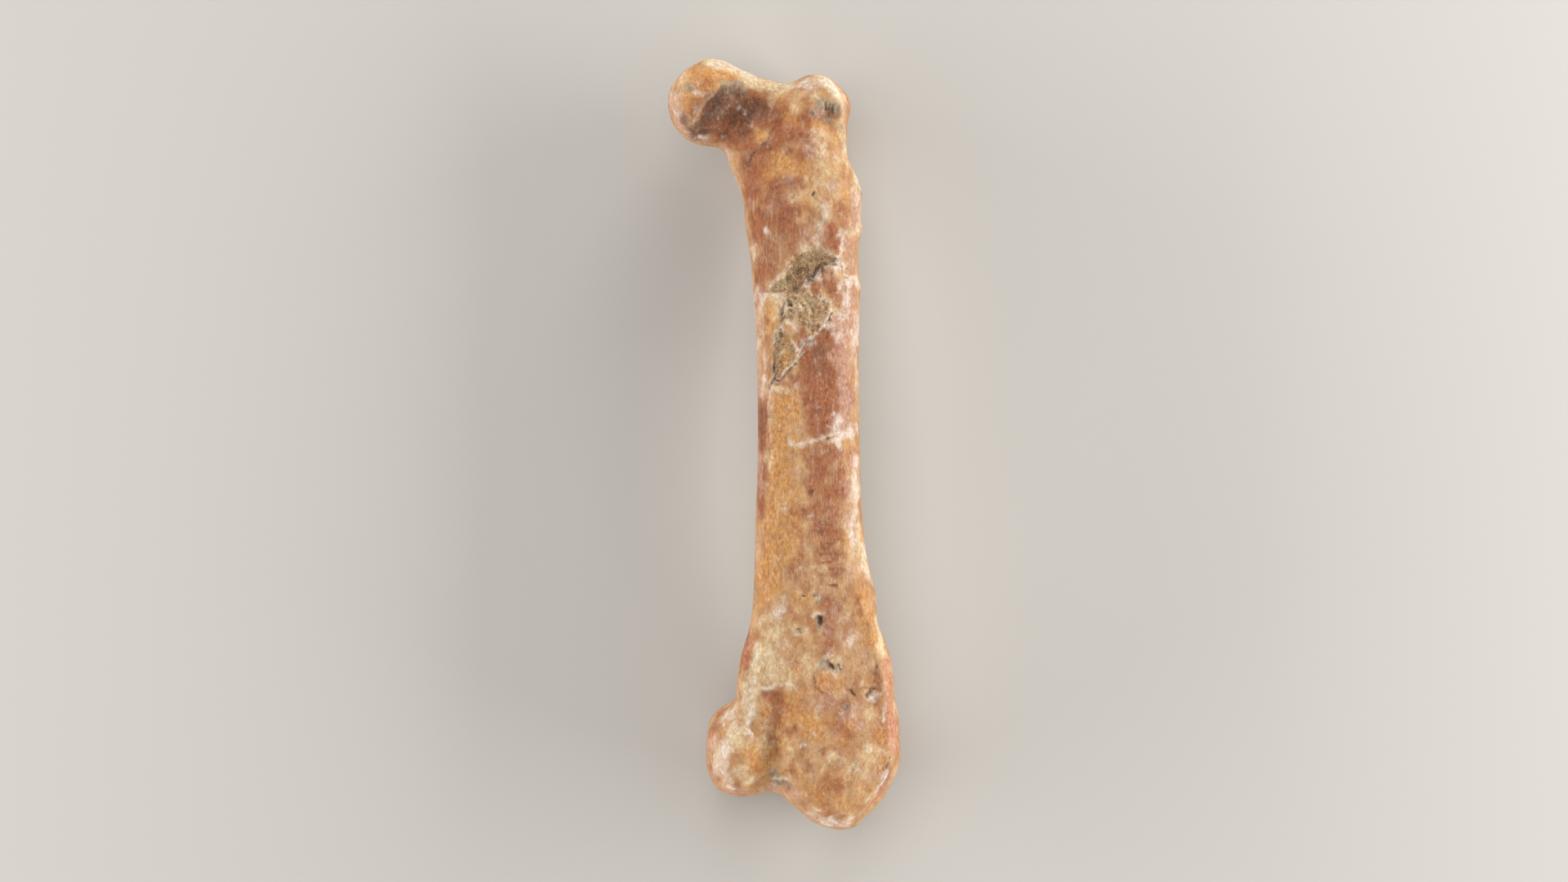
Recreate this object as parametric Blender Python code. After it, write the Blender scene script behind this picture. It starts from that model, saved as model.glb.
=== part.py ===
"""Fossil left thigh bone (femur) of a giant bony-toothed seabird, about 170 mm long.

The bone lies on its back face with its front face up, as it would on a table: the knee end points to -Y,
the hip end to +Y, the ball of the hip joint to -X. It rests on three bosses that a bird's thigh bone has:
the two knuckles (condyles) of the knee and the heel of the great trochanter. Bone and filled-in break are
one grown and cemented body, so the part is one solid.

It is made as a sculptor would: the main forms are lofted and fused into one blank, strokes press hollows
and raise ridges in it, and the surface is thinned out to flat facets.
"""

import bmesh
import bpy
import numpy as np
from mathutils import Vector
from mathutils.bvhtree import BVHTree

MM = 0.001

# Driving dimensions, all in millimetres. "Across" runs from the inner side to the outer side, 0 in the middle
# of the shaft. "Up" is the distance from the tip of the knee end. Heights are above the table.

ELLIPSE = 2.0  # squareness of a section that is an ellipse; a higher one fills out its corners

# The shaft with the knee end below and the great trochanter above.
# Up, inner edge, outer edge, back, front, squareness of the section.
SHAFT_STATIONS = [
    (0.1, 5.0, 9.8, 12.0, 20.0, 2.0),
    (1.0, 2.6, 10.9, 9.5, 22.4, 2.0),
    (2.6, -0.6, 12.3, 7.5, 24.3, 2.1),
    (5.0, -2.7, 14.1, 6.8, 26.0, 2.2),
    (8.6, -7.6, 17.1, 7.0, 27.6, 2.3),
    (12.0, -11.0, 19.2, 7.6, 28.7, 2.4),
    (17.0, -13.0, 20.5, 8.0, 29.4, 2.4),
    (24.0, -14.6, 20.0, 8.4, 29.6, 2.4),
    (30.0, -15.6, 19.1, 9.0, 29.4, 2.5),
    (38.0, -14.9, 18.2, 9.8, 29.1, 2.5),
    (43.5, -13.4, 16.2, 10.3, 29.0, 2.4),
    (49.0, -12.5, 14.9, 10.7, 29.1, 2.3),
    (55.0, -12.1, 14.1, 10.9, 29.3, 2.3),
    (60.0, -12.0, 13.0, 11.1, 29.6, 2.2),
    (68.0, -11.9, 12.0, 11.2, 29.9, 2.2),
    (79.0, -11.4, 11.4, 11.1, 30.2, 2.2),
    (90.0, -11.3, 11.3, 10.7, 30.2, 2.2),
    (100.0, -11.4, 11.1, 10.2, 30.0, 2.2),
    (111.0, -11.8, 11.2, 9.4, 29.6, 2.2),
    (119.0, -12.4, 11.3, 8.8, 29.3, 2.2),
    (127.0, -13.0, 11.0, 8.0, 29.0, 2.2),
    (132.6, -14.0, 11.6, 7.2, 28.8, 2.2),
    (138.0, -14.2, 11.4, 6.2, 28.6, 2.3),
    (143.5, -13.4, 10.9, 5.0, 28.4, 2.3),
    (149.0, -12.0, 8.3, 4.0, 28.1, 2.3),
    (154.0, -10.4, 7.8, 3.2, 27.6, 2.3),
    (159.6, -8.2, 9.6, 3.0, 26.6, 2.3),
    (162.6, -6.5, 8.3, 4.0, 25.0, 2.2),
    (165.0, -3.2, 5.8, 6.0, 22.5, 2.1),
    (166.8, -0.2, 3.5, 9.5, 19.0, 2.0),
]

# The neck curves out of the shaft towards the ball.
# Across, up, height above the table, half width in plan, half depth.
NECK_STATIONS = [
    (0.0, 128.0, 18.5, 9.0, 8.0),
    (-3.3, 142.0, 17.4, 11.6, 9.4),
    (-7.5, 151.3, 16.4, 11.4, 8.0),
    (-10.7, 155.4, 16.0, 10.9, 7.0),
    (-14.4, 157.9, 15.6, 9.1, 6.4),
    (-20.0, 160.3, 15.2, 9.1, 6.8),
]

# Rounded bodies. Centre (across, up, height), radii (across, up, height), squareness.
BALL = ((-21.9, 160.4, 15.3), (9.4, 10.0, 9.6), 2.0)
OUTER_KNUCKLE = ((10.2, 17.5, 13.6), (8.7, 14.3, 14.1), 2.3)
INNER_KNUCKLE = ((-14.3, 17.8, 13.4), (8.7, 10.7, 13.9), 2.4)
TROCHANTER_HEEL = ((1.6, 154.0, 8.5), (7.1, 10.6, 9.1), 2.1)

# Strokes of the modelling tool: the side it comes from, its path, its radius and its depth, which raises where
# it is negative. A point of a path is (across, up) on the front and back, (height, up) on the outer and inner
# side, and (across, height) on the top.
STROKES = [
    # Knee end, front: the groove of the kneecap, its inner lip, and the swell of the broad outer field
    ("front", [(-7.6, 1.0), (-7.2, 14.0), (-6.6, 24.0), (-5.0, 36.0)], 6.5, 1.6),
    ("front", [(-14.0, 42.0), (-14.8, 31.0), (-14.2, 24.0), (-13.4, 12.0)], 5.0, -1.4),
    ("front", [(4.0, 2.0), (5.0, 16.0), (4.0, 34.0)], 9.0, -0.7),
    # Knee end, front: the sharp outer ridge, which turns in towards the tip
    ("front", [(8.8, 56.0), (13.0, 46.6), (14.3, 40.0), (16.0, 33.0), (17.1, 27.0), (17.4, 20.0)], 2.8, -1.1),
    ("front", [(17.0, 28.0), (17.4, 20.0), (17.6, 16.0), (16.2, 12.5), (12.4, 7.0), (9.0, 3.5)], 2.6, -1.0),
    # Knee end, back: the gap between the knuckles, the hollow above them, the groove for the thin leg bone
    ("back", [(-3.6, -8.0), (-3.6, 10.0), (-3.2, 22.0), (-2.4, 36.0)], 6.5, 4.4),
    ("back", [(-2.0, 26.0), (-1.5, 36.0), (-1.0, 50.0)], 9.0, 1.8),
    ("outer", [(4.0, 6.0), (4.5, 16.0), (6.0, 27.0)], 4.0, 1.6),
    ("outer", [(17.0, 20.0)], 5.0, 0.9),
    ("inner", [(14.0, 19.0)], 5.5, 1.0),
    # Hip end, front: the crest of the trochanter and the pits inside it
    ("front", [(2.6, 166.5), (5.2, 161.6), (6.8, 157.0), (7.0, 151.0), (7.6, 144.0)], 3.2, -1.5),
    ("front", [(2.8, 157.6), (4.4, 154.6)], 3.4, 1.3),
    ("front", [(4.1, 158.8), (4.1, 157.8)], 1.3, 0.9),
    ("front", [(5.4, 159.4), (5.4, 157.6)], 1.3, 0.8),
    # Hip end, front: the hollow of the neck, and the step down to it from the skin of the ball
    ("front", [(-18.0, 156.5), (-14.0, 158.5), (-9.0, 157.5), (-4.0, 155.0)], 6.0, 0.8),
    ("front", [(-15.5, 164.2), (-18.4, 161.4), (-20.8, 158.6), (-22.4, 155.6), (-25.0, 152.8)], 2.6, 0.8),
    ("front", [(-26.6, 153.6), (-24.1, 152.5), (-22.0, 152.3), (-20.0, 152.6)], 1.3, 0.6),
    ("inner", [(15.0, 167.5)], 6.0, 0.7),
    # Hip end, back: the hollow between ball and heel, and the lip of the ball
    ("back", [(-11.0, 146.0), (-9.0, 153.0), (-7.5, 162.0)], 5.5, 1.6),
    ("back", [(-18.0, 167.0), (-17.8, 160.0), (-20.5, 152.0)], 2.4, 0.7),
    # Ball: the pit where its ligament was fixed
    ("top", [(-25.5, 16.0)], 3.6, 0.9),
    # Shaft: rough muscle lines down the back, and the worn bumps of its outer edge
    ("back", [(3.0, 52.0), (1.5, 80.0), (1.0, 104.0), (3.5, 130.0)], 2.6, -0.7),
    ("back", [(-6.5, 60.0), (-4.0, 84.0), (-3.5, 104.0)], 2.4, -0.4),
    ("outer", [(19.0, 142.5), (19.0, 137.0)], 3.6, -0.6),
    ("outer", [(20.0, 132.4)], 2.2, -0.7),
    ("outer", [(20.0, 129.0)], 2.2, 0.5),
    ("outer", [(20.0, 119.4)], 2.6, -0.4),
    ("outer", [(20.0, 54.0), (20.0, 49.5)], 3.2, -0.5),
    ("outer", [(20.0, 45.8)], 3.0, 0.5),
    ("outer", [(20.0, 29.4)], 2.6, 0.6),
    ("inner", [(20.0, 38.0)], 2.6, -0.3),
    # Knee end, front: a nutrient hole and the crushed spots above the groove
    ("front", [(2.4, 46.4)], 1.6, 1.8),
    ("front", [(3.4, 37.4), (5.4, 36.0), (7.4, 35.2)], 1.7, 1.0),
    ("front", [(9.6, 30.8)], 1.4, 0.9),
    ("front", [(13.0, 31.8), (14.6, 31.0), (14.9, 34.8)], 1.6, 0.9),
    # The break: the crevice under the plate at its lower edge, and lumps of the sediment that fills it
    ("front", [(7.0, 124.8), (3.2, 123.4), (1.4, 121.6), (-0.6, 119.6), (-3.6, 117.2)], 1.5, 1.1),
    ("front", [(-4.0, 122.8), (-2.4, 124.6), (0.4, 126.4)], 1.6, -0.6),
    ("front", [(-5.8, 119.8)], 1.7, -0.5),
    ("front", [(2.4, 113.8)], 1.8, -0.5),
    ("front", [(-1.6, 114.6)], 1.6, -0.4),
    # The diagonal crack that runs down from the break, with the raised lip on its upper side
    ("front", [(4.4, 113.2), (1.2, 108.4), (-1.6, 105.1), (-5.0, 102.1), (-7.2, 99.4)], 1.5, -0.5),
    ("front", [(5.4, 112.2), (2.2, 107.6), (-1.0, 103.7), (-4.4, 100.9), (-6.4, 98.7), (-8.8, 96.4)], 1.3, 0.8),
    ("front", [(-5.3, 116.6), (-5.5, 111.8)], 1.0, 0.8),
]

# The break in the shaft, where the wall of the bone is lost and old sediment shows: across and up.
UPPER_BREAK = [
    (0.3, 128.0), (2.3, 128.3), (3.9, 126.8), (6.1, 126.0), (6.2, 124.2), (4.1, 123.8), (2.3, 123.2),
    (1.5, 121.6), (0.5, 120.2), (-0.9, 119.4), (-2.8, 117.6), (-4.9, 118.1), (-7.6, 118.0),
    (-8.0, 119.2), (-6.3, 121.3), (-4.9, 122.7), (-4.4, 124.9), (-2.5, 126.8),
]
MIDDLE_BREAK = [
    (-2.3, 117.0), (0.8, 116.8), (2.2, 116.0), (4.5, 115.8), (4.6, 114.3), (2.8, 112.6), (1.0, 111.6),
    (-3.2, 111.8), (-4.0, 115.2), (-5.0, 116.8),
]
LOWER_BREAK = [
    (-5.8, 111.2), (-4.3, 110.4), (-2.7, 108.7), (-1.8, 107.3), (-0.2, 106.3), (-1.6, 104.6),
    (-3.2, 103.2), (-5.2, 101.6), (-6.3, 99.6), (-8.0, 98.2), (-7.8, 101.6), (-7.4, 105.0), (-7.1, 110.2),
]
BREAKS = [(UPPER_BREAK, 1.3), (MIDDLE_BREAK, 0.8), (LOWER_BREAK, 0.9)]
BREAK_WALL = 1.0

# How the bone is worked: grain of the skin in millimetres, rounds of smoothing, and the tool's touch.
RING_POINTS = 48
RING_STEP = 1.5
BLANK_GRAIN = 1.0
BLANK_ROUNDS = 12
SKIN_GRAIN = 0.6
SKIN_ROUNDS = 6
FINISH_ROUNDS = 2
SMOOTHING = 0.5
PATH_STEP = 0.8
LIGHT_TOUCH = 0.2  # share of the depth that is left at the ends of a stroke
FADE = 0.3  # share of its length over which a stroke fades in, and out again
OUTSIDE = 500.0  # well clear of the bone
TRIANGLES = 9000

BONE_COLOUR = (0.56, 0.30, 0.13, 1.0)
BONE_ROUGHNESS = 0.55

SIDES = {
    "front": (0.0, 0.0, 1.0),
    "back": (0.0, 0.0, -1.0),
    "outer": (1.0, 0.0, 0.0),
    "inner": (-1.0, 0.0, 0.0),
    "top": (0.0, 1.0, 0.0),
}


def clear_scene():
    for obj in list(bpy.data.objects):
        bpy.data.objects.remove(obj)


def curve_through(rows, places):
    """The rows read at the places along their first column, as one smooth curve through all of them."""
    rows = np.array(rows, float)
    along, values = rows[:, 0], rows[:, 1:]
    slopes = np.gradient(values, along, axis=0)
    i = np.clip(np.searchsorted(along, places) - 1, 0, len(along) - 2)
    gap = (along[i + 1] - along[i])[:, None]
    t = (places - along[i])[:, None] / gap
    start = (1 + 2 * t) * (1 - t) ** 2 * values[i] + t * (1 - t) ** 2 * gap * slopes[i]
    end = t**2 * (3 - 2 * t) * values[i + 1] + t**2 * (t - 1) * gap * slopes[i + 1]
    return start + end


def section(squareness):
    """Unit section: x and z of its points, a superellipse that starts at the outer side."""
    angle = np.linspace(0, 2 * np.pi, RING_POINTS, endpoint=False)
    x = np.sign(np.cos(angle)) * np.abs(np.cos(angle)) ** (2 / squareness)
    z = np.sign(np.sin(angle)) * np.abs(np.sin(angle)) ** (2 / squareness)
    return x, z


def loft(bm, rings):
    """Closed skin over the rings, with a flat cap at each end."""
    loops = [[bm.verts.new(point * MM) for point in ring] for ring in rings]
    for low, high in zip(loops, loops[1:]):
        for k in range(len(low)):
            n = (k + 1) % len(low)
            bm.faces.new((low[k], low[n], high[n], high[k]))
    bm.faces.new(loops[0][::-1])
    bm.faces.new(loops[-1])


def add_shaft(bm):
    rows = np.array(SHAFT_STATIONS)
    places = np.arange(rows[0, 0], rows[-1, 0] + RING_STEP / 2, RING_STEP)
    rings = []
    for up, (inner, outer, back, front, squareness) in zip(places, curve_through(rows, places)):
        x, z = section(squareness)
        across = (inner + outer) / 2 + x * (outer - inner) / 2
        height = (back + front) / 2 + z * (front - back) / 2
        rings.append(np.stack([across, np.full(RING_POINTS, up), height], axis=1))
    loft(bm, rings)


def add_neck(bm):
    """Rings square to a curve from inside the shaft to the middle of the ball."""
    rows = np.array(NECK_STATIONS)
    steps = np.linalg.norm(np.diff(rows[:, :2], axis=0), axis=1)
    along = np.concatenate([[0], np.cumsum(steps)])
    places = np.arange(0, along[-1], RING_STEP)
    points = curve_through(np.column_stack([along, rows]), places)
    heading = np.gradient(points[:, :2], axis=0)
    heading /= np.linalg.norm(heading, axis=1)[:, None]
    x, z = section(ELLIPSE)
    rings = []
    for (across, up, height, half_width, half_depth), (dx, dy) in zip(points, heading):
        ring = np.empty((RING_POINTS, 3))
        ring[:, 0] = across + x * half_width * dy
        ring[:, 1] = up - x * half_width * dx
        ring[:, 2] = height + z * half_depth
        rings.append(ring)
    loft(bm, rings)


def add_boss(bm, centre, radii, squareness):
    """An egg shape, with its corners filled out where the squareness is above that of an ellipse."""
    made = bmesh.ops.create_uvsphere(bm, u_segments=RING_POINTS, v_segments=RING_POINTS // 2, radius=1.0)
    for vertex in made["verts"]:
        direction = np.array(vertex.co)
        direction /= (np.abs(direction) ** squareness).sum() ** (1 / squareness)
        vertex.co = Vector((np.array(centre) + direction * np.array(radii)) * MM)


def bake(obj):
    """Applies the object's modifiers."""
    bpy.context.view_layer.update()
    mesh = bpy.data.meshes.new_from_object(obj.evaluated_get(bpy.context.evaluated_depsgraph_get()))
    obj.modifiers.clear()
    obj.data = mesh


def soften(obj, rounds):
    smooth = obj.modifiers.new("soft corners", "SMOOTH")
    smooth.factor = SMOOTHING
    smooth.iterations = rounds
    bake(obj)


def grow_together(obj, grain, rounds):
    """One even skin of the given grain over everything in the mesh, with its corners softened."""
    remesh = obj.modifiers.new("even skin", "REMESH")
    remesh.mode = "VOXEL"
    remesh.voxel_size = grain * MM
    soften(obj, rounds)


def fused_blank():
    """The main forms grown together, first coarse for soft joins, then fine enough to work on."""
    bm = bmesh.new()
    add_shaft(bm)
    add_neck(bm)
    for boss in (BALL, OUTER_KNUCKLE, INNER_KNUCKLE, TROCHANTER_HEEL):
        add_boss(bm, *boss)
    mesh = bpy.data.meshes.new("femur")
    bm.to_mesh(mesh)
    bm.free()
    obj = bpy.data.objects.new("femur", mesh)
    bpy.context.scene.collection.objects.link(obj)
    grow_together(obj, BLANK_GRAIN, BLANK_ROUNDS)
    grow_together(obj, SKIN_GRAIN, SKIN_ROUNDS)
    return obj


def vertices_of(mesh):
    points = np.empty(len(mesh.vertices) * 3)
    mesh.vertices.foreach_get("co", points)
    return points.reshape(-1, 3) / MM


def move_vertices(mesh, points):
    mesh.vertices.foreach_set("co", (points * MM).ravel())
    mesh.update()


def normals_of(mesh):
    normals = np.empty(len(mesh.vertices) * 3)
    mesh.vertex_normals.foreach_get("vector", normals)
    return normals.reshape(-1, 3)


def spaced(path, step):
    """Points at most a step apart along a path."""
    path = np.array(path, float)
    points = [path[0]]
    for a, b in zip(path, path[1:]):
        count = max(1, int(np.ceil(np.linalg.norm(b - a) / step)))
        points += [a + (b - a) * k / count for k in range(1, count + 1)]
    return np.array(points)


def ray_start(side, place):
    """Where the ray starts that brings a point of a path down on the bone from that side."""
    first, second = place
    if side in ("front", "back"):
        return Vector((first, second, SIDES[side][2] * OUTSIDE)) * MM
    if side in ("outer", "inner"):
        return Vector((SIDES[side][0] * OUTSIDE, second, first)) * MM
    return Vector((first, OUTSIDE, second)) * MM


def landed(mesh, side, path):
    """The path laid on the skin of the bone, and the mean direction that the skin faces along it."""
    tree = BVHTree.FromPolygons([v.co for v in mesh.vertices], [p.vertices for p in mesh.polygons])
    points, facing = [], Vector()
    for place in spaced(path, PATH_STEP):
        point, normal, _, _ = tree.ray_cast(ray_start(side, place), -Vector(SIDES[side]))
        if point is not None:
            points.append(np.array(point) / MM)
            facing += normal
    return points, np.array(facing.normalized())


def distance_to_path(points, path):
    """Distance of each point to the line through the path, and how far along it the nearest place is."""
    distance = np.linalg.norm(points - path[0], axis=1)
    along = np.zeros(len(points))
    passed = 0.0
    for a, b in zip(path, path[1:]):
        edge = b - a
        t = np.clip((points - a) @ edge / (edge @ edge), 0, 1)
        to_edge = np.linalg.norm(points - (a + t[:, None] * edge), axis=1)
        closer = to_edge < distance
        distance = np.where(closer, to_edge, distance)
        along = np.where(closer, passed + t * np.linalg.norm(edge), along)
        passed += np.linalg.norm(edge)
    return distance, along, passed


def smoothstep(t):
    t = np.clip(t, 0, 1)
    return t * t * (3 - 2 * t)


def press(mesh, side, path, radius, depth):
    """One stroke of the modelling tool, lighter towards its ends."""
    line, facing = landed(mesh, side, path)
    points = vertices_of(mesh)
    distance, along, length = distance_to_path(points, line)
    share = np.clip(1 - (distance / radius) ** 2, 0, 1) ** 2
    if length > 0:
        to_end = np.minimum(along, length - along) / (FADE * length)
        share *= LIGHT_TOUCH + (1 - LIGHT_TOUCH) * smoothstep(to_end)
    move_vertices(mesh, points - facing * (share * depth)[:, None])


def depth_inside(polygon, points):
    """How far each point (across, up) lies inside the polygon; 0 outside it."""
    corners = np.array(polygon, float)
    inside = np.zeros(len(points), bool)
    nearest = np.full(len(points), np.inf)
    for a, b in zip(corners, np.roll(corners, -1, axis=0)):
        edge = b - a
        t = np.clip(((points - a) @ edge) / (edge @ edge), 0, 1)
        nearest = np.minimum(nearest, np.linalg.norm(points - (a + t[:, None] * edge), axis=1))
        crosses = (a[1] > points[:, 1]) != (b[1] > points[:, 1])
        if edge[1]:
            meets = a[0] + (points[:, 1] - a[1]) * edge[0] / edge[1]
            inside ^= crosses & (points[:, 0] < meets)
    return np.where(inside, nearest, 0)


def sink(mesh, polygon, depth):
    """Lowers the front surface inside a polygon, behind a short steep wall."""
    points, normals = vertices_of(mesh), normals_of(mesh)
    share = np.where(normals[:, 2] > 0, smoothstep(depth_inside(polygon, points[:, :2]) / BREAK_WALL), 0)
    move_vertices(mesh, points - normals * (share * depth)[:, None])


def thin_out(obj, triangles):
    """Fewer, larger facets, with the small ones kept where the surface turns fast."""
    bm = bmesh.new()
    bm.from_mesh(obj.data)
    bmesh.ops.triangulate(bm, faces=bm.faces)
    bm.to_mesh(obj.data)
    bm.free()
    decimate = obj.modifiers.new("thin out", "DECIMATE")
    decimate.ratio = triangles / len(obj.data.polygons)
    decimate.use_collapse_triangulate = True
    bake(obj)


def cut_rest_flats(obj):
    """Takes off what reaches below the table, which leaves a small flat on each of the three bosses."""
    bm = bmesh.new()
    bm.from_mesh(obj.data)
    bmesh.ops.bisect_plane(
        bm, geom=bm.verts[:] + bm.edges[:] + bm.faces[:],
        plane_co=(0, 0, 0), plane_no=(0, 0, 1), dist=0.0001 * MM, clear_inner=True,
    )
    rim = [edge for edge in bm.edges if edge.is_boundary]
    flats = bmesh.ops.holes_fill(bm, edges=rim, sides=0)["faces"]
    for flat in flats:
        spot = flat.calc_center_median() / MM
        print(f"rest flat: across {spot.x:.2f}, up {spot.y:.2f}, area {flat.calc_area() / MM**2:.1f} mm2")
    bmesh.ops.recalc_face_normals(bm, faces=bm.faces)
    bmesh.ops.triangulate(bm, faces=bm.faces)
    bm.to_mesh(obj.data)
    bm.free()


def centre_over_origin(obj):
    """The origin goes on the table, below the middle of the bone's box."""
    points = vertices_of(obj.data)
    middle = (points.min(axis=0) + points.max(axis=0)) / 2
    middle[2] = 0
    print(f"middle of the box: across {middle[0]:.2f}, up {middle[1]:.2f}")
    move_vertices(obj.data, points - middle)


def paint(obj):
    material = bpy.data.materials.new("fossil bone")
    material.use_nodes = True
    surface = material.node_tree.nodes["Principled BSDF"]
    surface.inputs["Base Color"].default_value = BONE_COLOUR
    surface.inputs["Roughness"].default_value = BONE_ROUGHNESS
    surface.inputs["Metallic"].default_value = 0.0
    obj.data.materials.clear()
    obj.data.materials.append(material)


def main():
    clear_scene()
    femur = fused_blank()
    for polygon, depth in BREAKS:
        sink(femur.data, polygon, depth)
    for side, path, radius, depth in STROKES:
        press(femur.data, side, path, radius, depth)
    soften(femur, FINISH_ROUNDS)
    thin_out(femur, TRIANGLES)
    cut_rest_flats(femur)
    centre_over_origin(femur)
    femur.data.shade_smooth()
    paint(femur)


main()
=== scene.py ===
# %% [markdown]
# Fossil thigh bone of a giant seabird
#
# The real thing is one bone that lay in the sea bed for millions of years. Its wall took up iron and went
# honey and rust, salts left chalky streaks along its fibres, and a break in the shaft is filled with old
# sediment. The solid model gives its form. This notebook gives it a skin, in the order in which a museum's
# model maker would work: an even surface, the marks of damage, washes of colour, fine weathering, and grains
# glued into the break.

import math

import bmesh
import bpy
import numpy as np
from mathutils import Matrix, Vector, noise
from mathutils.bvhtree import BVHTree


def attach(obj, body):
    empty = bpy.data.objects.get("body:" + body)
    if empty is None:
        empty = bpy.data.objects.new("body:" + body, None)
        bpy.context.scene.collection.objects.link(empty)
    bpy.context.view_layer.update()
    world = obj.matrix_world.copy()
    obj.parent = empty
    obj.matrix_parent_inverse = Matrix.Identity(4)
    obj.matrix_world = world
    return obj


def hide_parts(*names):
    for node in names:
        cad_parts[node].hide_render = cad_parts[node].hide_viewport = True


MM = 0.001

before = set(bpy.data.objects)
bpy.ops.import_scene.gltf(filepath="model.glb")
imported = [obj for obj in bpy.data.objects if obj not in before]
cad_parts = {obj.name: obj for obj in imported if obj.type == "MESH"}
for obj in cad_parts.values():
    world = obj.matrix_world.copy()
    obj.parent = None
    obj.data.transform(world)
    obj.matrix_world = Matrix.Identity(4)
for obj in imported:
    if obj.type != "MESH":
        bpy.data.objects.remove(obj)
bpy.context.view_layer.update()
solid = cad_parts["femur"]
print("solid bone:", [round(size / MM, 1) for size in solid.dimensions], "mm")

# %% [markdown]
# Places on the bone
#
# A place on the front is given in millimetres as (across, up), as an anatomist would measure it: across from
# the middle of the shaft towards the outer side, up from the tip of the knee end. Two numbers turn that into
# the frame, whose origin lies below the middle of the bone's box.

# %% From bone measures to the frame
MIDDLE_ACROSS = -5.43
MIDDLE_UP = 85.14
OUTLINE_HEIGHT = 15.0
ABOVE = 500.0
DOWN = Vector((0, 0, -1))


def over(place, height):
    """The point at a height over a place, in the frame's millimetres."""
    across, up = place
    return Vector((across - MIDDLE_ACROSS, up - MIDDLE_UP, height))


# %% [markdown]
# Camera
#
# The photo shows the bone upright and square to its front face. A loose bone lies down, so the camera hangs
# over it instead and looks straight down, with the hip end at the top of the picture. A long lens from more
# than a metre away keeps both ends at nearly the same scale, as in the photo. Its picture is 345.6 mm wide at
# the height of the bone's outline, so that the bone fills as much of it as in the photo.

# %% Hang the camera over the bone
PICTURE_WIDTH = 345.6
LENS = 135.0
SENSOR_WIDTH = 36.0
CAMERA_UP = 0.6

camera_data = bpy.data.cameras.new("camera")
camera_data.lens = LENS
camera_data.sensor_width = SENSOR_WIDTH
camera = bpy.data.objects.new("camera", camera_data)
distance = PICTURE_WIDTH * LENS / SENSOR_WIDTH
camera.location = (0, CAMERA_UP * MM, (distance + OUTLINE_HEIGHT) * MM)
bpy.context.scene.collection.objects.link(camera)
bpy.context.scene.camera = camera
print("camera height:", round(camera.location.z, 3), "m")

# %% [markdown]
# Skin
#
# The solid has flat facets of about 2 mm. A voxel remesh lays an even net of small quads over it, and a few
# rounds of smoothing melt the facets. Sculpting and painting by vertex both need such a net. Subdivision
# alone would keep the facets' pattern.

# %% Lay an even skin over the solid
SKIN_GRAIN = 0.5
SKIN_ROUNDS = 14
SMOOTHING = 0.5
MERGE_GAP = 0.001


def baked(obj):
    """A plain mesh of an object as its modifiers leave it."""
    bpy.context.view_layer.update()
    return bpy.data.meshes.new_from_object(obj.evaluated_get(bpy.context.evaluated_depsgraph_get()))


def take_modifiers(obj):
    """Makes what the modifiers give the object's own mesh, and removes them."""
    mesh = baked(obj)
    obj.modifiers.clear()
    obj.data = mesh


bm = bmesh.new()
bm.from_mesh(solid.data)
bmesh.ops.remove_doubles(bm, verts=bm.verts, dist=MERGE_GAP * MM)
skin_mesh = bpy.data.meshes.new("fossil_femur")
bm.to_mesh(skin_mesh)
bm.free()
skin_mesh.materials.clear()
bone = bpy.data.objects.new("fossil_femur", skin_mesh)
bpy.context.scene.collection.objects.link(bone)

remesh = bone.modifiers.new("even skin", "REMESH")
remesh.mode = "VOXEL"
remesh.voxel_size = SKIN_GRAIN * MM
smooth = bone.modifiers.new("melted facets", "SMOOTH")
smooth.factor = SMOOTHING
smooth.iterations = SKIN_ROUNDS
take_modifiers(bone)
print("skin:", len(bone.data.polygons), "faces")

# %% [markdown]
# Tools of the sculptor
#
# A stroke is a path on the bone's front. Rays bring its points down on the skin, and a point just past the
# outline goes to the nearest place on the side. Every vertex then knows how far it is from the stroke. The
# same distance drives the relief and, further down, the colours.

# %% Measure distances to a stroke
PATH_STEP = 0.6
TINY = 1e-9


def points_of(mesh):
    """Where the vertices are, in millimetres, a row for each."""
    points = np.empty(len(mesh.vertices) * 3)
    mesh.vertices.foreach_get("co", points)
    return points.reshape(-1, 3) / MM


def normals_of(mesh):
    """The direction that the skin faces at each vertex."""
    normals = np.empty(len(mesh.vertices) * 3)
    mesh.vertex_normals.foreach_get("vector", normals)
    return normals.reshape(-1, 3)


def tree_of(mesh):
    """A search tree of the mesh in millimetres."""
    return BVHTree.FromPolygons([v.co / MM for v in mesh.vertices], [p.vertices for p in mesh.polygons])


def spaced(path):
    """Points at most a step apart along a path."""
    points = [np.array(path[0], float)]
    for a, b in zip(path, path[1:]):
        a, b = np.array(a, float), np.array(b, float)
        count = max(1, math.ceil(np.linalg.norm(b - a) / PATH_STEP))
        points += [a + (b - a) * k / count for k in range(1, count + 1)]
    return points


def landed(skin, path):
    """The path laid on the skin, and the mean direction that the skin faces along it."""
    line, facing = [], Vector()
    for place in spaced(path):
        point, normal, _, _ = skin.ray_cast(over(place, ABOVE), DOWN)
        if point is None:
            point, normal, _, _ = skin.find_nearest(over(place, OUTLINE_HEIGHT))
        line.append(np.array(point))
        facing += normal
    return np.array(line), np.array(facing.normalized())


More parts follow.
